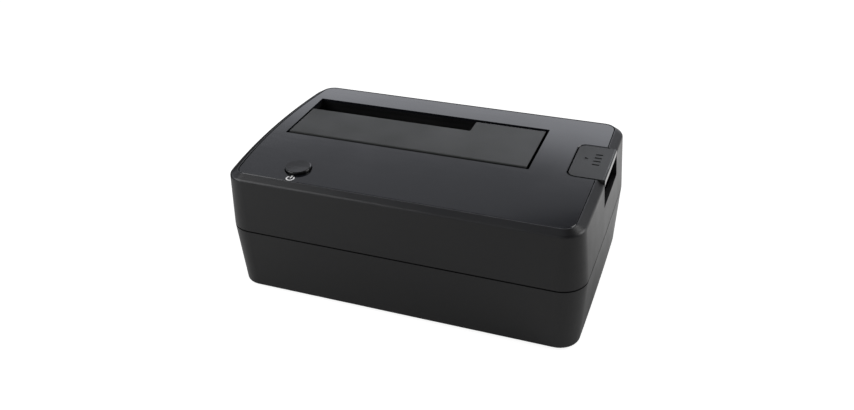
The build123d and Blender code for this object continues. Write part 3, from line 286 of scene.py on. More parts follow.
def worked_metal(name, code, rough, grain, spread):
    """Bare or plated metal, drawn or rolled: short marks, as wide as the grain in mm, vary its gloss.

    Spread is the share by which the roughness strays.
    """
    stain_size = 5
    # the marks run about eight times as far as they are wide
    stretch = 0.12
    mark_depth = 0.004 * MM
    material, tree = empty_material(name)
    place = add_node(tree, "ShaderNodeTexCoord").outputs["Object"]
    drawn = add_node(tree, "ShaderNodeMapping", {"Vector": place, "Scale": (1.0, stretch, 1.0)})
    marks = add_node(
        tree,
        "ShaderNodeTexNoise",
        {"Vector": drawn.outputs["Vector"], "Scale": per_mm(grain), "Detail": 3.0},
    )
    stain = add_node(
        tree, "ShaderNodeTexNoise", {"Vector": place, "Scale": per_mm(stain_size), "Detail": 3.0}
    )
    tone = add_node(
        tree,
        "ShaderNodeMix",
        {
            "Factor": stain.outputs["Fac"],
            "A": shade(linear(code), 0.82),
            "B": shade(linear(code), 1.08),
        },
        data_type="RGBA",
    )
    gloss = add_node(
        tree,
        "ShaderNodeMapRange",
        {
            "Value": marks.outputs["Fac"],
            "From Min": NOISE_LOW,
            "From Max": NOISE_HIGH,
            "To Min": rough * (1 - spread),
            "To Max": rough * (1 + spread),
        },
    )
    bump = add_node(
        tree, "ShaderNodeBump", {"Height": marks.outputs["Fac"], "Strength": 0.5, "Distance": mark_depth}
    )
    shader = add_node(
        tree,
        "ShaderNodeBsdfPrincipled",
        {
            "Base Color": tone.outputs["Result"],
            "Metallic": 1.0,
            "Roughness": gloss.outputs["Result"],
            "Normal": bump.outputs["Normal"],
        },
    )
    add_node(tree, "ShaderNodeOutputMaterial", {"Surface": shader.outputs["BSDF"]})
    return material


def dress(material, *names):
    """Gives CAD nodes a material through their slots. Their meshes stay as they are."""
    for name in names:
        node = nodes[name]
        if not node.material_slots:
            node.data.materials.append(material)
        for place in node.material_slots:
            place.material = material


def select_only(piece):
    bpy.ops.object.select_all(action="DESELECT")
    piece.select_set(True)
    bpy.context.view_layer.objects.active = piece


def add_primitive(operator, name, stretch=(1, 1, 1), **settings):
    """Adds a primitive with everything else deselected, and puts its place and size in its mesh."""
    bpy.ops.object.select_all(action="DESELECT")
    operator(**settings)
    piece = bpy.context.active_object
    piece.name = name
    piece.data.name = name
    piece.scale = stretch
    bpy.ops.object.transform_apply(location=True, rotation=True, scale=True)
    return piece


def close_edit():
    """Ends an edit with doubles merged and faces turned outwards."""
    bpy.ops.mesh.select_all(action="SELECT")
    bpy.ops.mesh.remove_doubles(threshold=1e-6)
    bpy.ops.mesh.normals_make_consistent(inside=False)
    bpy.ops.object.mode_set(mode="OBJECT")


def hand_over(piece, body, material):
    """Ends a piece: its material and the body that it rides on."""
    piece.data.materials.clear()
    piece.data.materials.append(material)
    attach(piece, body)


def apply_modifier(piece, kind, **settings):
    select_only(piece)
    modifier = piece.modifiers.new(kind.lower(), kind)
    for name, value in settings.items():
        setattr(modifier, name, value)
    bpy.ops.object.modifier_apply(modifier=modifier.name)


def top_middle(name):
    """Middle of the top of a CAD node's box."""
    low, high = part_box(name)
    return Vector(((low.x + high.x) / 2, (low.y + high.y) / 2, high.z))


def with_copies(piece, shifts):
    """The finished piece and its copies, each with its own mesh."""
    made = [piece]
    for shift in shifts:
        select_only(piece)
        bpy.ops.object.duplicate(linked=False)
        bpy.ops.transform.translate(value=shift)
        bpy.ops.object.transform_apply(location=True, rotation=True, scale=True)
        made.append(bpy.context.active_object)
    return made


def rounded_block(name, place, size, bevel):
    """Small moulded or fired block with its edges broken."""
    block = add_primitive(bpy.ops.mesh.primitive_cube_add, name, size=1, location=place, stretch=size)
    bpy.ops.object.mode_set(mode="EDIT")
    bpy.ops.mesh.select_all(action="SELECT")
    bpy.ops.mesh.bevel(offset=bevel, segments=2, affect="EDGES")
    close_edit()
    return block


def raised_disc(name, place, radius, rise, cut=None):
    """Thin disc with a broken edge. A cut keeps what lies on the far side of a line across it."""
    circle = bpy.ops.mesh.primitive_circle_add
    disc = add_primitive(circle, name, vertices=40, radius=radius, fill_type="NGON", location=place)
    bpy.ops.object.mode_set(mode="EDIT")
    bpy.ops.mesh.select_all(action="SELECT")
    if cut is not None:
        line = place + Vector((cut, 0, 0))
        bpy.ops.mesh.bisect(plane_co=line, plane_no=(1, 0, 0), clear_inner=True)
        bpy.ops.mesh.select_all(action="SELECT")
    # the share of the thickness that the broken edge takes up
    broken = 0.3
    for share in (1 - broken, broken):
        bpy.ops.mesh.extrude_region_move(TRANSFORM_OT_translate={"value": (0, 0, rise * share)})
    shrink = 1 - broken * rise / radius
    bpy.ops.transform.resize(value=(shrink, shrink, 1), center_override=place + Vector((0, 0, rise)))
    close_edit()
    return disc


def bent_strip(name, path, across, thickness):
    """Strip of thin sheet metal: an edge extruded along a path of bends, then thickened."""
    points = [Vector(point) for point in path]
    half = Vector(across) / 2
    strip = add_primitive(bpy.ops.mesh.primitive_plane_add, name, size=1)
    bpy.ops.object.mode_set(mode="EDIT")
    bpy.ops.mesh.select_mode(type="VERT")
    bpy.ops.mesh.select_all(action="DESELECT")
    mesh = bmesh.from_edit_mesh(strip.data)
    for vert, (end, side) in zip(mesh.verts, ((0, -1), (0, 1), (1, -1), (1, 1))):
        vert.co = points[end] + side * half
        vert.select = end == 1
    mesh.select_flush_mode()
    bmesh.update_edit_mesh(strip.data)
    for before, after in zip(points[1:], points[2:]):
        bpy.ops.mesh.extrude_region_move(TRANSFORM_OT_translate={"value": after - before})
    close_edit()
    apply_modifier(strip, "SOLIDIFY", thickness=thickness, offset=0)
    return strip


class DOCK_OT_shells(bpy.types.Operator):
    """Gives both halves of the case their satin moulded finish"""

    bl_idname = "dock.shells"
    bl_label = "Case Shells"

    def execute(self, context):
        # ABS moulded in a finely spark-eroded tool: a low satin sheen that breaks up sharp reflections.
        # The real grain is near 0.1 mm, and it is drawn at 0.5 mm so that it shows.
        satin = moulded_plastic(
            "abs_satin_black", context.scene.dock_colours.shell, 0.36, 0.5, 0.006, ior=1.45, contrast=0.12
        )
        dress(satin, "upper_shell", "base_shell")
        return {"FINISHED"}


class DOCK_OT_gloss(bpy.types.Operator):
    """Gives the top panel and the power button their piano gloss"""

    bl_idname = "dock.gloss"
    bl_label = "Gloss Panel and Button"

    def execute(self, context):
        colours = context.scene.dock_colours
        dress(self.piano("abs_piano_gloss_black", colours.panel, 0.09), "top_panel")
        dress(self.piano("abs_gloss_black_button", colours.button, 0.15, ior=1.42), "power_button")
        return {"FINISHED"}

    def piano(self, name, colour, rough, ior=1.5):
        """ABS from a mirror-polished mould. It mirrors the room, softened by wiping haze and hairlines."""
        haze_size, hairline_gap, wave_length = 30, 0.6, 24
        wave_height = 0.02 * MM
        material, tree = empty_material(name)
        place = add_node(tree, "ShaderNodeTexCoord").outputs["Object"]
        haze = add_node(
            tree, "ShaderNodeTexNoise", {"Vector": place, "Scale": per_mm(haze_size), "Detail": 5.0}
        )
        # Wiping leaves hairlines that run long and at a slant across the panel. They are finer than this
        # on the real one, and are drawn as coarse as they need to show.
        drawn = add_node(
            tree, "ShaderNodeMapping", {"Vector": place, "Scale": (0.05, 1.0, 1.0), "Rotation": (0, 0, 0.35)}
        )
        hair = add_node(
            tree,
            "ShaderNodeTexNoise",
            {"Vector": drawn.outputs["Vector"], "Scale": per_mm(hairline_gap), "Detail": 2.0},
        )
        both = add_node(
            tree, "ShaderNodeMath", {0: haze.outputs["Fac"], 1: hair.outputs["Fac"]}, operation="MULTIPLY"
        )
        gloss = add_node(
            tree,
            "ShaderNodeMapRange",
            {
                "Value": both.outputs["Value"],
                "From Min": 0.1,
                "From Max": 0.45,
                "To Min": rough * 0.7,
                "To Max": rough * 1.4,
            },
        )
        # a moulded skin is never quite flat: long, low waves bend what it mirrors
        wave = add_node(
            tree, "ShaderNodeTexNoise", {"Vector": place, "Scale": per_mm(wave_length), "Detail": 1.0}
        )
        bump = add_node(
            tree, "ShaderNodeBump", {"Height": wave.outputs["Fac"], "Strength": 0.6, "Distance": wave_height}
        )
        shader = add_node(
            tree,
            "ShaderNodeBsdfPrincipled",
            {
                "Base Color": shade(colour, 1.0),
                "Roughness": gloss.outputs["Result"],
                "IOR": ior,
                "Normal": bump.outputs["Normal"],
            },
        )
        add_node(tree, "ShaderNodeOutputMaterial", {"Surface": shader.outputs["BSDF"]})
        return material


class DOCK_OT_moving_plastics(bpy.types.Operator):
    """Gives the flap and the eject tab their matte charcoal finish"""

    bl_idname = "dock.moving_plastics"
    bl_label = "Flap and Eject Tab"

    def execute(self, context):
        colours = context.scene.dock_colours
        # ABS from a coarser spark-eroded mould, so it stays matte at every angle
        rough, grain = 0.5, 0.45
        flap_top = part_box("door_flap")[1].z
        # painted shade: the flap below its top face, its rounded front edge among it, is darkened as if
        # shaded by the gap it turns into
        painted_shade_band = (flap_top - 0.35 * MM, flap_top - 0.03 * MM)
        dress(
            moulded_plastic("abs_matte_charcoal_flap", colours.flap, rough, grain, 0.012, painted_shade_band=painted_shade_band),
            "door_flap",
        )
        tab_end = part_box("eject_tab")[1].x
        rubbed = (tab_end - 1.0 * MM, tab_end - 0.5 * MM)
        dress(
            moulded_plastic("abs_matte_charcoal_tab", colours.tab, rough, grain, 0.01, rubbed=rubbed),
            "eject_tab",
        )
        return {"FINISHED"}


class DOCK_OT_inner_plastics(bpy.types.Operator):
    """Gives the plastic parts inside the case their finishes"""

    bl_idname = "dock.inner_plastics"
    bl_label = "Inner Plastics"

    def execute(self, context):
        colours = context.scene.dock_colours
        # ABS from an untextured mould: half matte, with the cutter's soft unevenness
        dress(
            moulded_plastic("abs_plain_black", colours.bay, 0.5, 0.9, 0.01),
            "drive_well", "eject_rocker", "switch_plunger",
        )
        # glass-filled polyester: duller, with a fine fibre mottle
        dress(
            moulded_plastic("pbt_black", colours.connector, 0.55, 0.35, 0.008, contrast=0.3),
            "drive_connector", "board_link", "power_switch", "power_jack",
        )
        # the same polyester without glass: an even, slightly waxy blue
        dress(moulded_plastic("pbt_blue", colours.socket, 0.45, 0.35, 0.006), "usb_insert")
        # unfilled nylon: milky and smooth
        dress(
            moulded_plastic("nylon_off_white", colours.plug, 0.4, 0.6, 0.004, contrast=0.04),
            "switch_board_plug", "main_board_plug",
        )
        # transfer-moulded epoxy: dry and dark, speckled by its silica filler
        dress(
            moulded_plastic("epoxy_chip_black", linear("#161617"), 0.6, 0.2, 0.006, contrast=0.25),
            "bridge_chip", "flash_chip", "inductors",
        )
        # silicone rubber: matte, a little dusty
        dress(
            moulded_plastic("silicone_rubber", colours.rubber, 0.78, 0.8, 0.02, ior=1.41, contrast=0.2),
            "foot_front_left", "foot_front_right", "foot_back_left", "foot_back_right",
        )
        # extruded PVC: a soft sheen with slow ripples
        dress(moulded_plastic("pvc_lead_jacket", linear("#1d1d1e"), 0.42, 1.2, 0.01), "switch_lead")
        return {"FINISHED"}


class DOCK_OT_metals(bpy.types.Operator):
    """Gives the sockets, contacts, springs, pins and screws their metals"""

    bl_idname = "dock.metals"
    bl_label = "Metals"

    def execute(self, context):
        # rolled sheet under dull tin: pale grey, softly streaked
        dress(worked_metal("tin_plated_steel", "#c9c8c4", 0.32, 0.9, 0.25), "usb_socket")
        # thin gold over a punched strip: warm yellow and fairly sharp
        gold = worked_metal("gold_plated_bronze", "#e6c068", 0.22, 0.6, 0.15)
        dress(gold, "usb_contacts", "drive_contacts")
        # turned brass under nickel: bright, a little warm
        dress(worked_metal("nickel_plated_brass", "#cfcdc6", 0.2, 0.5, 0.12), "power_jack_pin")
        # drawn wire: mid grey with fine marks
        dress(
            worked_metal("drawn_spring_steel", "#a9a9ac", 0.28, 0.3, 0.2),
            "flap_spring", "eject_tab_spring", "power_button_spring", "flap_hinge_rod", "rocker_pin",
        )
        # zinc on rolled threads: bluish and cloudy
        dress(
            worked_metal("zinc_plated_steel", "#b4b8bd", 0.34, 0.4, 0.3),
            "case_screws", "well_screws", "main_board_screws", "drive_board_screws", "switch_board_screws",
        )
        # deep-drawn cans: light, clean and half bright
        dress(worked_metal("drawn_aluminium", "#d4d4d6", 0.3, 0.4, 0.15), "capacitors", "crystal")
        return {"FINISHED"}


class DOCK_OT_boards(bpy.types.Operator):
    """Gives the three circuit boards their solder mask with copper runs under it"""

    bl_idname = "dock.boards"
    bl_label = "Circuit Boards"

    def execute(self, context):
        colour = context.scene.dock_colours.board
        # glass epoxy under green solder mask: copper runs show as paler, slightly raised green lines
        material, tree = empty_material("fr4_solder_mask")
        place = add_node(tree, "ShaderNodeTexCoord").outputs["Object"]
        # Runs about 1 mm wide and 2.2 mm from one to the next, coarser than real ones so that they show.
        # They turn corners with the cells of a square pattern, and each pair of a cell's steps holds one.
        cell_size, steps_in_cell = 9, 8.0
        copper_thickness = 0.035 * MM
        cells = add_node(
            tree,
            "ShaderNodeTexVoronoi",
            {"Vector": place, "Scale": per_mm(cell_size)},
            distance="CHEBYCHEV",
        )
        runs = add_node(
            tree,
            "ShaderNodeMath",
            {0: cells.outputs["Distance"], 1: steps_in_cell},
            operation="MULTIPLY",
        )
        lines = add_node(tree, "ShaderNodeMath", {0: runs.outputs["Value"], 1: 1.0}, operation="PINGPONG")
        copper = add_node(
            tree,
            "ShaderNodeMapRange",
            {"Value": lines.outputs["Value"], "From Min": 0.45, "From Max": 0.6},
        )
        tone = add_node(
            tree,
            "ShaderNodeMix",
            {"Factor": copper.outputs["Result"], "A": shade(colour, 0.8), "B": shade(colour, 1.9)},
            data_type="RGBA",
        )
        bump = add_node(
            tree,
            "ShaderNodeBump",
            {"Height": copper.outputs["Result"], "Strength": 0.8, "Distance": copper_thickness},
        )
        shader = add_node(
            tree,
            "ShaderNodeBsdfPrincipled",
            {
                "Base Color": tone.outputs["Result"],
                "Roughness": 0.28,
                "IOR": 1.55,
                "Normal": bump.outputs["Normal"],
            },
        )
        add_node(tree, "ShaderNodeOutputMaterial", {"Surface": shader.outputs["BSDF"]})
        dress(material, "main_board", "drive_board", "switch_board")
        return {"FINISHED"}


class DOCK_OT_standby_sign(bpy.types.Operator):
    """Prints the standby sign on the panel in front of the power button"""

    bl_idname = "dock.standby_sign"
    bl_label = "Standby Sign"

    def execute(self, context):
        sign = context.scene.dock_sign
        low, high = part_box("power_button")
        panel_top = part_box("top_panel")[1].z
        middle = Vector(
            (
                (low.x + high.x) / 2 + sign.shift,
                (low.y + high.y) / 2 - sign.gap,
                panel_top + sign.rise / 2,
            )
        )
        # the ring is the stroke's cross-section, spun about the middle from one side of the opening
        start = math.pi / 2 - sign.opening / 2
        arm = sign.radius - sign.stroke / 2
        ring = add_primitive(
            bpy.ops.mesh.primitive_plane_add,
            "standby_sign",
            size=1,
            location=middle + arm * Vector((math.cos(start), math.sin(start), 0)),
            rotation=(math.pi / 2, 0, start),
            stretch=(sign.stroke, sign.rise, 1),
        )
        bpy.ops.object.mode_set(mode="EDIT")
        bpy.ops.mesh.select_all(action="SELECT")
        bpy.ops.mesh.spin(
            steps=44, angle=2 * math.pi - sign.opening, center=middle, axis=(0, 0, 1), use_auto_merge=False
        )
        close_edit()
        bar = add_primitive(
            bpy.ops.mesh.primitive_cube_add,
            "standby_bar",
            size=1,
            location=middle + Vector((0, sign.radius + sign.reach - sign.bar / 2, 0)),
            stretch=(sign.stroke, sign.bar, sign.rise),
        )
        select_only(bar)
        bpy.ops.object.mode_set(mode="EDIT")
        bpy.ops.mesh.select_all(action="DESELECT")
        mesh = bmesh.from_edit_mesh(bar.data)
        for edge in mesh.edges:
            a, b = edge.verts
            edge.select = abs(a.co.z - b.co.z) > sign.rise / 2
        bmesh.update_edit_mesh(bar.data)
        bpy.ops.mesh.bevel(offset=sign.stroke * 0.3, segments=3, affect="EDGES")
        close_edit()
        select_only(ring)
        bar.select_set(True)
        bpy.ops.object.join()
        # screen-printed ink: flat white with a faint orange-peel
        ink = moulded_plastic("white_pad_ink", context.scene.dock_colours.ink, 0.4, 0.3, 0.002, contrast=0.03)
        hand_over(ring, "dock", ink)
        return {"FINISHED"}


class DOCK_OT_springs(bpy.types.Operator):
    """Shows a copy of each spring, with its own mesh and its steel, in place of the CAD one"""

    bl_idname = "dock.springs"
    bl_label = "Springs"

    def execute(self, context):
        # wire hardened in oil: mid grey and half bright, with fine marks
        steel = worked_metal("oil_tempered_spring_steel", "#a2a2a6", 0.28, 0.3, 0.2)
        # each coil spring is listed with the joint of the part that rests on it and that part's travel
        for name, joint, travel in (
            ("power_button_spring", "button_slide", 1.2 * MM),
            ("eject_tab_spring", "tab_slide", 5.4 * MM),
        ):
            coil = self.stand_in(name, "coil_of_" + name)
            hand_over(coil, "dock", steel)
            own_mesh(coil)
        # the torsion spring, with its leg on the case and its leg under the flap, is copied the same way and
        # left where it stands
        winding = self.stand_in("flap_spring", "winding_of_flap_spring")
        winding.data.materials.clear()
        winding.data.materials.append(steel)
        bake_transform(winding)
        return {"FINISHED"}

    def stand_in(self, name, new_name):
        """A copy of the CAD spring, with its own mesh, that is shown in its place."""
        select_only(nodes[name])
        bpy.ops.object.duplicate(linked=False)
        bpy.ops.object.parent_clear(type="CLEAR_KEEP_TRANSFORM")
        coil = bpy.context.active_object
        coil.name = new_name
        coil.data.name = new_name
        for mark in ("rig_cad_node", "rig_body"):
            del coil[mark]
        bpy.ops.object.mode_set(mode="EDIT")
        close_edit()
        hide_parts(name)
        return coil


class DOCK_OT_chip_parts(bpy.types.Operator):
    """Solders rows of small chip resistors and ceramic capacitors to the main board"""

    bl_idname = "dock.chip_parts"
    bl_label = "Chip Resistors and Capacitors"

    def execute(self, context):
        # thick film under a fired black glaze: smooth, with a soft shine
        glaze = moulded_plastic("black_glazed_ceramic", linear("#19191b"), 0.3, 0.4, 0.003, contrast=0.1)
        # bare fired ceramic: tan, dry and even
        ceramic = moulded_plastic("tan_ceramic", linear("#9a7a55"), 0.55, 0.3, 0.004, contrast=0.15)
        # solder that has run and set: bright grey, a little rippled
        tin = worked_metal("reflowed_tin_solder", "#c4c5c6", 0.26, 0.5, 0.25)
        board_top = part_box("main_board")[1].z
        behind_bridge = [(column * 3.6, 8.8) for column in (-2, -1, 0, 1, 2)]
        left_of_bridge = [(-9.2, row * 3.4) for row in (-1.5, -0.5, 0.5, 1.5)]
        resistors = self.around("bridge_chip", behind_bridge)
        resistors += self.around("flash_chip", [(0, 4.2), (0, 6.2)])
        ceramics = self.around("bridge_chip", left_of_bridge)
        ceramics += self.around("flash_chip", [(4.8, 0)])
        ceramics += self.around("bridge_chip", [(7.6, 4)])
        self.row("chip_resistor", resistors, board_top, 0.45 * MM, glaze, tin)
        self.row("chip_capacitor", ceramics, board_top, 0.8 * MM, ceramic, tin)
        return {"FINISHED"}

    def around(self, chip, places):
        """Places given in mm, right of and behind the chip's middle."""
        middle = top_middle(chip)
        return [(middle.x + right * MM, middle.y + back * MM) for right, back in places]

    def row(self, name, places, board_top, height, body_material, tin):
        """One part is modelled at the first place, and the others are copies of it."""
        length, width, cap = 1.6 * MM, 0.8 * MM, 0.32 * MM
        solder, body_edge, cap_edge = 0.03 * MM, 0.05 * MM, 0.06 * MM
        # how much wider and higher the caps are than the body between them
        wrap = 0.04 * MM
        first = Vector((*places[0], board_top))
        shifts = [Vector((*place, board_top)) - first for place in places[1:]]
        lift = Vector((0, 0, height / 2 + solder))
        body = rounded_block(name, first + lift, (length - cap, width, height), body_edge)
        ends = []
        for side in (-1, 1):
            middle = first + lift + Vector((side * (length - cap) / 2, 0, 0))
            size = (cap, width + wrap, height + wrap)
            ends.append(rounded_block(name + "_ends", middle, size, cap_edge))
        select_only(ends[0])
        ends[1].select_set(True)
        bpy.ops.object.join()
        for piece, material, slot in (
            (body, body_material, "chip_plastic"),
            (ends[0], tin, "tinned_steel"),
        ):
            for copy in with_copies(piece, shifts):
                hand_over(copy, "dock", material)


class DOCK_OT_chip_marks(bpy.types.Operator):
    """Marks pin one on the chips and the negative side on the can capacitors"""

    bl_idname = "dock.chip_marks"
    bl_label = "Pin and Polarity Marks"

    def execute(self, context):
        # laser marking leaves a pale grey bloom, and the cans carry a dark printed half-moon
        bloom = moulded_plastic("laser_mark_grey", linear("#8d8d8a"), 0.6, 0.2, 0.002)
        ink = moulded_plastic("black_can_ink", linear("#131314"), 0.4, 0.3, 0.002)
        rise = 0.03 * MM
        for name, radius, inset in (
            ("bridge_chip", 0.55 * MM, 2.2 * MM),
            ("flash_chip", 0.3 * MM, 0.8 * MM),
        ):
            low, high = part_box(name)
            place = Vector((low.x + inset, low.y + inset, high.z))
            dot = raised_disc("pin_one_" + name, place, radius, rise)
            hand_over(dot, "dock", bloom)
        # one can stands at the box's left rear corner and the other at its right front
        low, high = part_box("capacitors")
        can_radius, margin, cut = 3.1 * MM, 0.7 * MM, 1.0 * MM
        for x, y in (
            (low.x + can_radius, high.y - can_radius),
            (high.x - can_radius, low.y + can_radius),
        ):
            place = Vector((x, y, high.z))
            moon = raised_disc("polarity_mark", place, can_radius - margin, rise, cut=cut)
            hand_over(moon, "dock", ink)
        return {"FINISHED"}


class DOCK_OT_inductor_cores(bpy.types.Operator):
    """Sets the round ferrite drum into the top of each shielded inductor"""

    bl_idname = "dock.inductor_cores"
    bl_label = "Inductor Cores"

    def execute(self, context):
        # sintered ferrite: dark grey, dry and slightly gritty
        ferrite = moulded_plastic("sintered_ferrite", linear("#3a3a3c"), 0.7, 0.25, 0.01, contrast=0.25)
        # two square inductors, one behind the other
        low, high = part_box("inductors")
        side = high.x - low.x
        front = Vector((low.x + side / 2, low.y + side / 2, high.z))
        drum = raised_disc("inductor_core", front, 2.6 * MM, 0.25 * MM)
        for core in with_copies(drum, [Vector((0, high.y - low.y - side, 0))]):
            hand_over(core, "dock", ferrite)
        return {"FINISHED"}


class DOCK_OT_socket_springs(bpy.types.Operator):
    """Puts the leaf springs into the data socket and the power inlet"""

    bl_idname = "dock.socket_springs"
    bl_label = "Socket Springs"

    def execute(self, context):
        # stamped bronze under tin: pale, a little warm and fairly bright
        tin = worked_metal("tin_plated_spring_bronze", "#cfcac0", 0.24, 0.5, 0.2)
        sheet = 0.2 * MM
        # Each leaf's bends in mm: how far out of the opening's middle, and how far back from its mouth.
        # It runs along the wall and bows inwards, to grip what is plugged in.
        socket_bends = ((4.05, 9.0), (4.0, 7.6), (3.62, 5.6), (3.5, 4.6), (3.62, 3.6), (3.95, 2.2))
        inlet_bends = ((2.85, 9.2), (2.8, 7.6), (2.2, 5.4), (2.05, 4.4), (2.2, 3.4), (2.75, 1.8))
        low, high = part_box("usb_socket")
        middle = (low.x + high.x) / 2
        # the middle of the socket's lower, square bay
        level = low.z + 5.4 * MM
        for side in (-1, 1):
            path = [(middle + side * out * MM, high.y - back * MM, level) for out, back in socket_bends]
            leaf = bent_strip("socket_side_leaf", path, (0, 0, 2.6 * MM), sheet)
            hand_over(leaf, "dock", tin)
        low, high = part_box("power_jack")
        middle = (low.x + high.x) / 2
        centre = (low.z + high.z) / 2
        path = [(middle, high.y - back * MM, centre - out * MM) for out, back in inlet_bends]
        blade = bent_strip("inlet_side_leaf", path, (1.5 * MM, 0, 0), sheet)
        hand_over(blade, "dock", tin)
        return {"FINISHED"}


class DOCK_OT_lead_sleeve(bpy.types.Operator):
    """Shrinks a short sleeve round the switch lead where it leaves each plug"""

    bl_idname = "dock.lead_sleeve"
    bl_label = "Lead Sleeves"

    def execute(self, context):
        # polyolefin shrink tube: matte, with soft ends
        tube = moulded_plastic("polyolefin_shrink_tube", linear("#2b2b2e"), 0.6, 0.6, 0.006)
        low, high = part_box("switch_lead")
        bore, wall, height = 0.95 * MM, 0.3 * MM, 4.0 * MM
        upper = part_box("switch_board_plug")
        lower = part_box("main_board_plug")
        for (near, far), base in ((upper, high.z - height), (lower, low.z)):
            end = (near + far) / 2
            sleeve = add_primitive(
                bpy.ops.mesh.primitive_cylinder_add,
                "lead_sleeve",
                vertices=32,
                radius=bore,
                depth=height,
                end_fill_type="NOTHING",
                location=(end.x, end.y, base + height / 2),
            )
            apply_modifier(sleeve, "SOLIDIFY", thickness=wall, offset=1)
            apply_modifier(sleeve, "BEVEL", width=wall * 0.3, segments=2, limit_method="ANGLE")
            hand_over(sleeve, "dock", tube)
        return {"FINISHED"}


class DOCK_OT_studio(bpy.types.Operator):
    """Builds the pale floor, the soft light and the camera at the photograph's angle"""

    bl_idname = "dock.studio"
    bl_label = "Studio"

    # The room that gloss mirrors is a product of soft steps of brightness. Each goes along a slope, from
    # one height to another, and from one strength to another.
    ROOM_STEPS = (
        # a white sweep behind the object, which fades upwards
        ((-0.162, 0, 1), (0.470, 0.530), (1.92, 0.5)),
        # its upper edge, with the dim room above it
        ((0.185, 0, 1), (0.504, 0.508), (1.0, 0.28)),
        # the sweep's foot, where it bends into the table and turns away from the lamps
        ((0, 0, 1), (0.08, 0.16), (0.4, 1.0)),
        # the ceiling, lit by the same lamps
        ((0, 0, 1), (0.62, 0.80), (1.0, 3.6)),
        # the dark side of the room, low at the left rear
        ((-0.8, 0.6, -0.6), (0.6, 0.85), (1.0, 0.12)),
        # the camera's side, low at the front
        ((0, -1, -0.6), (0.2, 0.6), (1.0, 0.4)),
        # the room to the right, past the end of the sweep
        ((1, 0, 0), (0.1, 0.35), (1.0, 0.25)),
    )
    # daylight tubes give what gloss mirrors a cool cast
    COOL_WHITE = (0.95, 0.97, 1.04, 1)
    # where the middle of each lamp stands and how wide it is, in metres
    KEY_PLACE, KEY_SIZE = (-0.32, -0.28, 0.24), 0.3
    END_PLACE, END_SIZE = (0.7, 0.3, 0.4), 0.5
    # where the paper is seen, this glow and the light on this grey add up to white
    PAPER_GLOW = 0.86
    PAPER_GREY = (0.42, 0.42, 0.42, 1)

    def execute(self, context):
        studio = context.scene.dock_studio
        self.floor(context, studio)
        self.world(studio)
        self.lamps(context, studio)
        self.camera(context, studio)
        context.scene.view_settings.view_transform = "Standard"
        return {"FINISHED"}

    def seen(self, tree):
        """The light path, and 1 for what the camera sees straight or through glass."""
        path = add_node(tree, "ShaderNodeLightPath")
        either = add_node(
            tree,
            "ShaderNodeMath",
            {0: path.outputs["Is Camera Ray"], 1: path.outputs["Is Transmission Ray"]},
            operation="MAXIMUM",
        )
        return path, either.outputs["Value"]

    def floor(self, context, studio):
        """Paper that the camera sees lifted to white, with the object's shadow kept."""
        floor = add_primitive(
            bpy.ops.mesh.primitive_plane_add, "studio_floor", size=studio.floor_size, location=(0, 0, 0)
        )
        bpy.ops.object.mode_set(mode="EDIT")
        bpy.ops.mesh.select_all(action="SELECT")
        bpy.ops.mesh.subdivide(number_cuts=3)
        bpy.ops.object.mode_set(mode="OBJECT")
        # matte paper: even white, with a hardly visible mottle of fibres
        material, tree = empty_material("matte_white_paper")
        colour = context.scene.dock_colours.floor
        fibre_size = 3
        place = add_node(tree, "ShaderNodeTexCoord").outputs["Object"]
        fibre = add_node(
            tree, "ShaderNodeTexNoise", {"Vector": place, "Scale": per_mm(fibre_size), "Detail": 4.0}
        )
        tone = add_node(
            tree,
            "ShaderNodeMix",
            {"Factor": fibre.outputs["Fac"], "A": shade(colour, 0.99), "B": shade(colour, 1.01)},
            data_type="RGBA",
        )
        # the paper ends at the left rear, where the case's left shoulder mirrors the dark room
        extent = self.soft_step(tree, place, (-0.8, 0.6, 0), (0.1, 0.2), (1.0, 0.08))
        lit = add_node(
            tree,
            "ShaderNodeMix",
            {"Factor": extent, "A": BLACK, "B": tone.outputs["Result"]},
            data_type="RGBA",
        )
        paper = add_node(tree, "ShaderNodeBsdfDiffuse", {"Color": lit.outputs["Result"]})
        glow = add_node(tree, "ShaderNodeEmission", {"Color": WHITE, "Strength": self.PAPER_GLOW})
        grey = add_node(tree, "ShaderNodeBsdfDiffuse", {"Color": self.PAPER_GREY})
        bright = add_node(
            tree, "ShaderNodeAddShader", {0: glow.outputs["Emission"], 1: grey.outputs["BSDF"]}
        )
        path, seen = self.seen(tree)
        # the right end wall mirrors a strip of paper beside it, lit from behind
        backward = self.soft_step(tree, place, (0, 1, 0), (-0.02, 0.1), (0.0, 0.4))
        rightward = self.soft_step(tree, place, (1, 0, 0), (0.05, 0.07), (0.0, 1.0))
        strip = self.product(tree, (path.outputs["Is Glossy Ray"], backward, rightward))
        backlight = add_node(tree, "ShaderNodeEmission", {"Color": WHITE, "Strength": strip})
        paper = add_node(
            tree, "ShaderNodeAddShader", {0: paper.outputs["BSDF"], 1: backlight.outputs["Emission"]}
        )
        mixed = add_node(
            tree,
            "ShaderNodeMixShader",
            {"Fac": seen, 1: paper.outputs["Shader"], 2: bright.outputs["Shader"]},
        )
        add_node(tree, "ShaderNodeOutputMaterial", {"Surface": mixed.outputs["Shader"]})
        floor.data.materials.append(material)

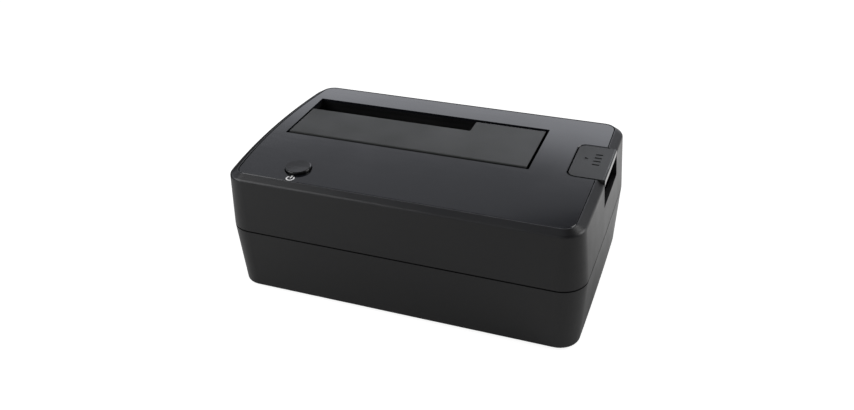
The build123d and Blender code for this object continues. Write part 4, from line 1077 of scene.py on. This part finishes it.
    def world(self, studio):
        """White where it is seen. What gloss mirrors is a white sweep that fades upwards into a dim room."""
        world = bpy.data.worlds.new("dock_studio")
        bpy.context.scene.world = world
        world.use_nodes = True
        tree = world.node_tree
        tree.nodes.clear()
        way = add_node(tree, "ShaderNodeTexCoord").outputs["Generated"]
        room = self.product(tree, [self.soft_step(tree, way, *step) for step in self.ROOM_STEPS])
        path, seen = self.seen(tree)
        soft = add_node(tree, "ShaderNodeBackground", {"Color": WHITE, "Strength": studio.fill})
        white = add_node(tree, "ShaderNodeBackground", {"Color": WHITE, "Strength": 1.0})
        mirrored = add_node(tree, "ShaderNodeBackground", {"Color": self.COOL_WHITE, "Strength": room})
        glossy = add_node(
            tree,
            "ShaderNodeMixShader",
            {
                "Fac": path.outputs["Is Glossy Ray"],
                1: soft.outputs["Background"],
                2: mirrored.outputs["Background"],
            },
        )
        mixed = add_node(
            tree,
            "ShaderNodeMixShader",
            {"Fac": seen, 1: glossy.outputs["Shader"], 2: white.outputs["Background"]},
        )
        add_node(tree, "ShaderNodeOutputWorld", {"Surface": mixed.outputs["Shader"]})

    def soft_step(self, tree, way, slope, heights, strengths):
        """A soft step of brightness along a slope, between two heights on it."""
        height = add_node(tree, "ShaderNodeVectorMath", {0: way, 1: slope}, operation="DOT_PRODUCT")
        step = add_node(
            tree,
            "ShaderNodeMapRange",
            {
                "Value": height.outputs["Value"],
                "From Min": heights[0],
                "From Max": heights[1],
                "To Min": strengths[0],
                "To Max": strengths[1],
            },
            interpolation_type="SMOOTHSTEP",
        )
        return step.outputs["Result"]

    def product(self, tree, shares):
        """All the shares multiplied with one another."""
        whole = shares[0]
        for share in shares[1:]:
            both = add_node(tree, "ShaderNodeMath", {0: whole, 1: share}, operation="MULTIPLY")
            whole = both.outputs["Value"]
        return whole

    def lamps(self, context, studio):
        """A soft box near the front left corner, and a second one at the right end, both facing the dock."""
        for name, place, size, power in (
            ("key_softbox", self.KEY_PLACE, self.KEY_SIZE, studio.key),
            ("end_softbox", self.END_PLACE, self.END_SIZE, studio.end),
        ):
            bpy.ops.object.select_all(action="DESELECT")
            bpy.ops.object.light_add(type="AREA", location=place)
            lamp = context.active_object
            lamp.name = name
            lamp.rotation_euler = (-Vector(place)).to_track_quat("-Z", "Y").to_euler()
            lamp.data.size = size
            lamp.data.energy = power

    def camera(self, context, studio):
        """The camera, from its place, heading, tilt and roll, with its lens shifted as in the photograph."""
        heading, tilt, roll = studio.heading, studio.tilt, studio.roll
        level = math.cos(tilt)
        ahead = Vector((math.sin(heading) * level, math.cos(heading) * level, -math.sin(tilt)))
        right = Vector((math.cos(heading), -math.sin(heading), 0))
        up = right.cross(ahead)
        turned_right = math.cos(roll) * right + math.sin(roll) * up
        turned_up = math.cos(roll) * up - math.sin(roll) * right
        turn = Matrix((turned_right, turned_up, -ahead)).transposed()
        bpy.ops.object.select_all(action="DESELECT")
        bpy.ops.object.camera_add()
        camera = context.active_object
        camera.name = "photo_camera"
        camera.matrix_world = Matrix.Translation(studio.place) @ turn.to_4x4()
        camera.data.sensor_width = 36
        camera.data.lens = studio.lens
        camera.data.shift_x = studio.shift_x
        camera.data.shift_y = studio.shift_y
        camera.data.clip_start = 0.01
        context.scene.camera = camera


class DOCK_PT_looks(bpy.types.Panel):
    """Lists the colours, the sizes and the steps that build the looks"""

    bl_idname = "DOCK_PT_looks"
    bl_label = "Drive Dock"
    bl_space_type = "VIEW_3D"
    bl_region_type = "UI"
    bl_category = "Drive Dock"

    def draw(self, context):
        for group in (context.scene.dock_colours, context.scene.dock_sign, context.scene.dock_studio):
            box = self.layout.box()
            for name in group.__annotations__:
                box.prop(group, name)
        column = self.layout.column(align=True)
        for operator in OPERATORS:
            column.operator(operator.bl_idname)


GROUPS = {"dock_colours": DockColours, "dock_sign": DockSign, "dock_studio": DockStudio}
OPERATORS = (
    DOCK_OT_shells,
    DOCK_OT_gloss,
    DOCK_OT_moving_plastics,
    DOCK_OT_inner_plastics,
    DOCK_OT_metals,
    DOCK_OT_boards,
    DOCK_OT_standby_sign,
    DOCK_OT_springs,
    DOCK_OT_chip_parts,
    DOCK_OT_chip_marks,
    DOCK_OT_inductor_cores,
    DOCK_OT_socket_springs,
    DOCK_OT_lead_sleeve,
    DOCK_OT_studio,
)


def register():
    for group in GROUPS.values():
        bpy.utils.register_class(group)
    for operator in OPERATORS:
        bpy.utils.register_class(operator)
    bpy.utils.register_class(DOCK_PT_looks)
    for name, group in GROUPS.items():
        setattr(bpy.types.Scene, name, bpy.props.PointerProperty(type=group))


def unregister():
    for name in GROUPS:
        delattr(bpy.types.Scene, name)
    bpy.utils.unregister_class(DOCK_PT_looks)
    for operator in reversed(OPERATORS):
        bpy.utils.unregister_class(operator)
    for group in reversed(list(GROUPS.values())):
        bpy.utils.unregister_class(group)


def main():
    register()
    bpy.ops.dock.shells()
    bpy.ops.dock.gloss()
    bpy.ops.dock.moving_plastics()
    bpy.ops.dock.inner_plastics()
    bpy.ops.dock.metals()
    bpy.ops.dock.boards()
    bpy.ops.dock.standby_sign()
    bpy.ops.dock.springs()
    bpy.ops.dock.chip_parts()
    bpy.ops.dock.chip_marks()
    bpy.ops.dock.inductor_cores()
    bpy.ops.dock.socket_springs()
    bpy.ops.dock.lead_sleeve()
    bpy.ops.dock.studio()


if __name__ == "__main__":
    main()
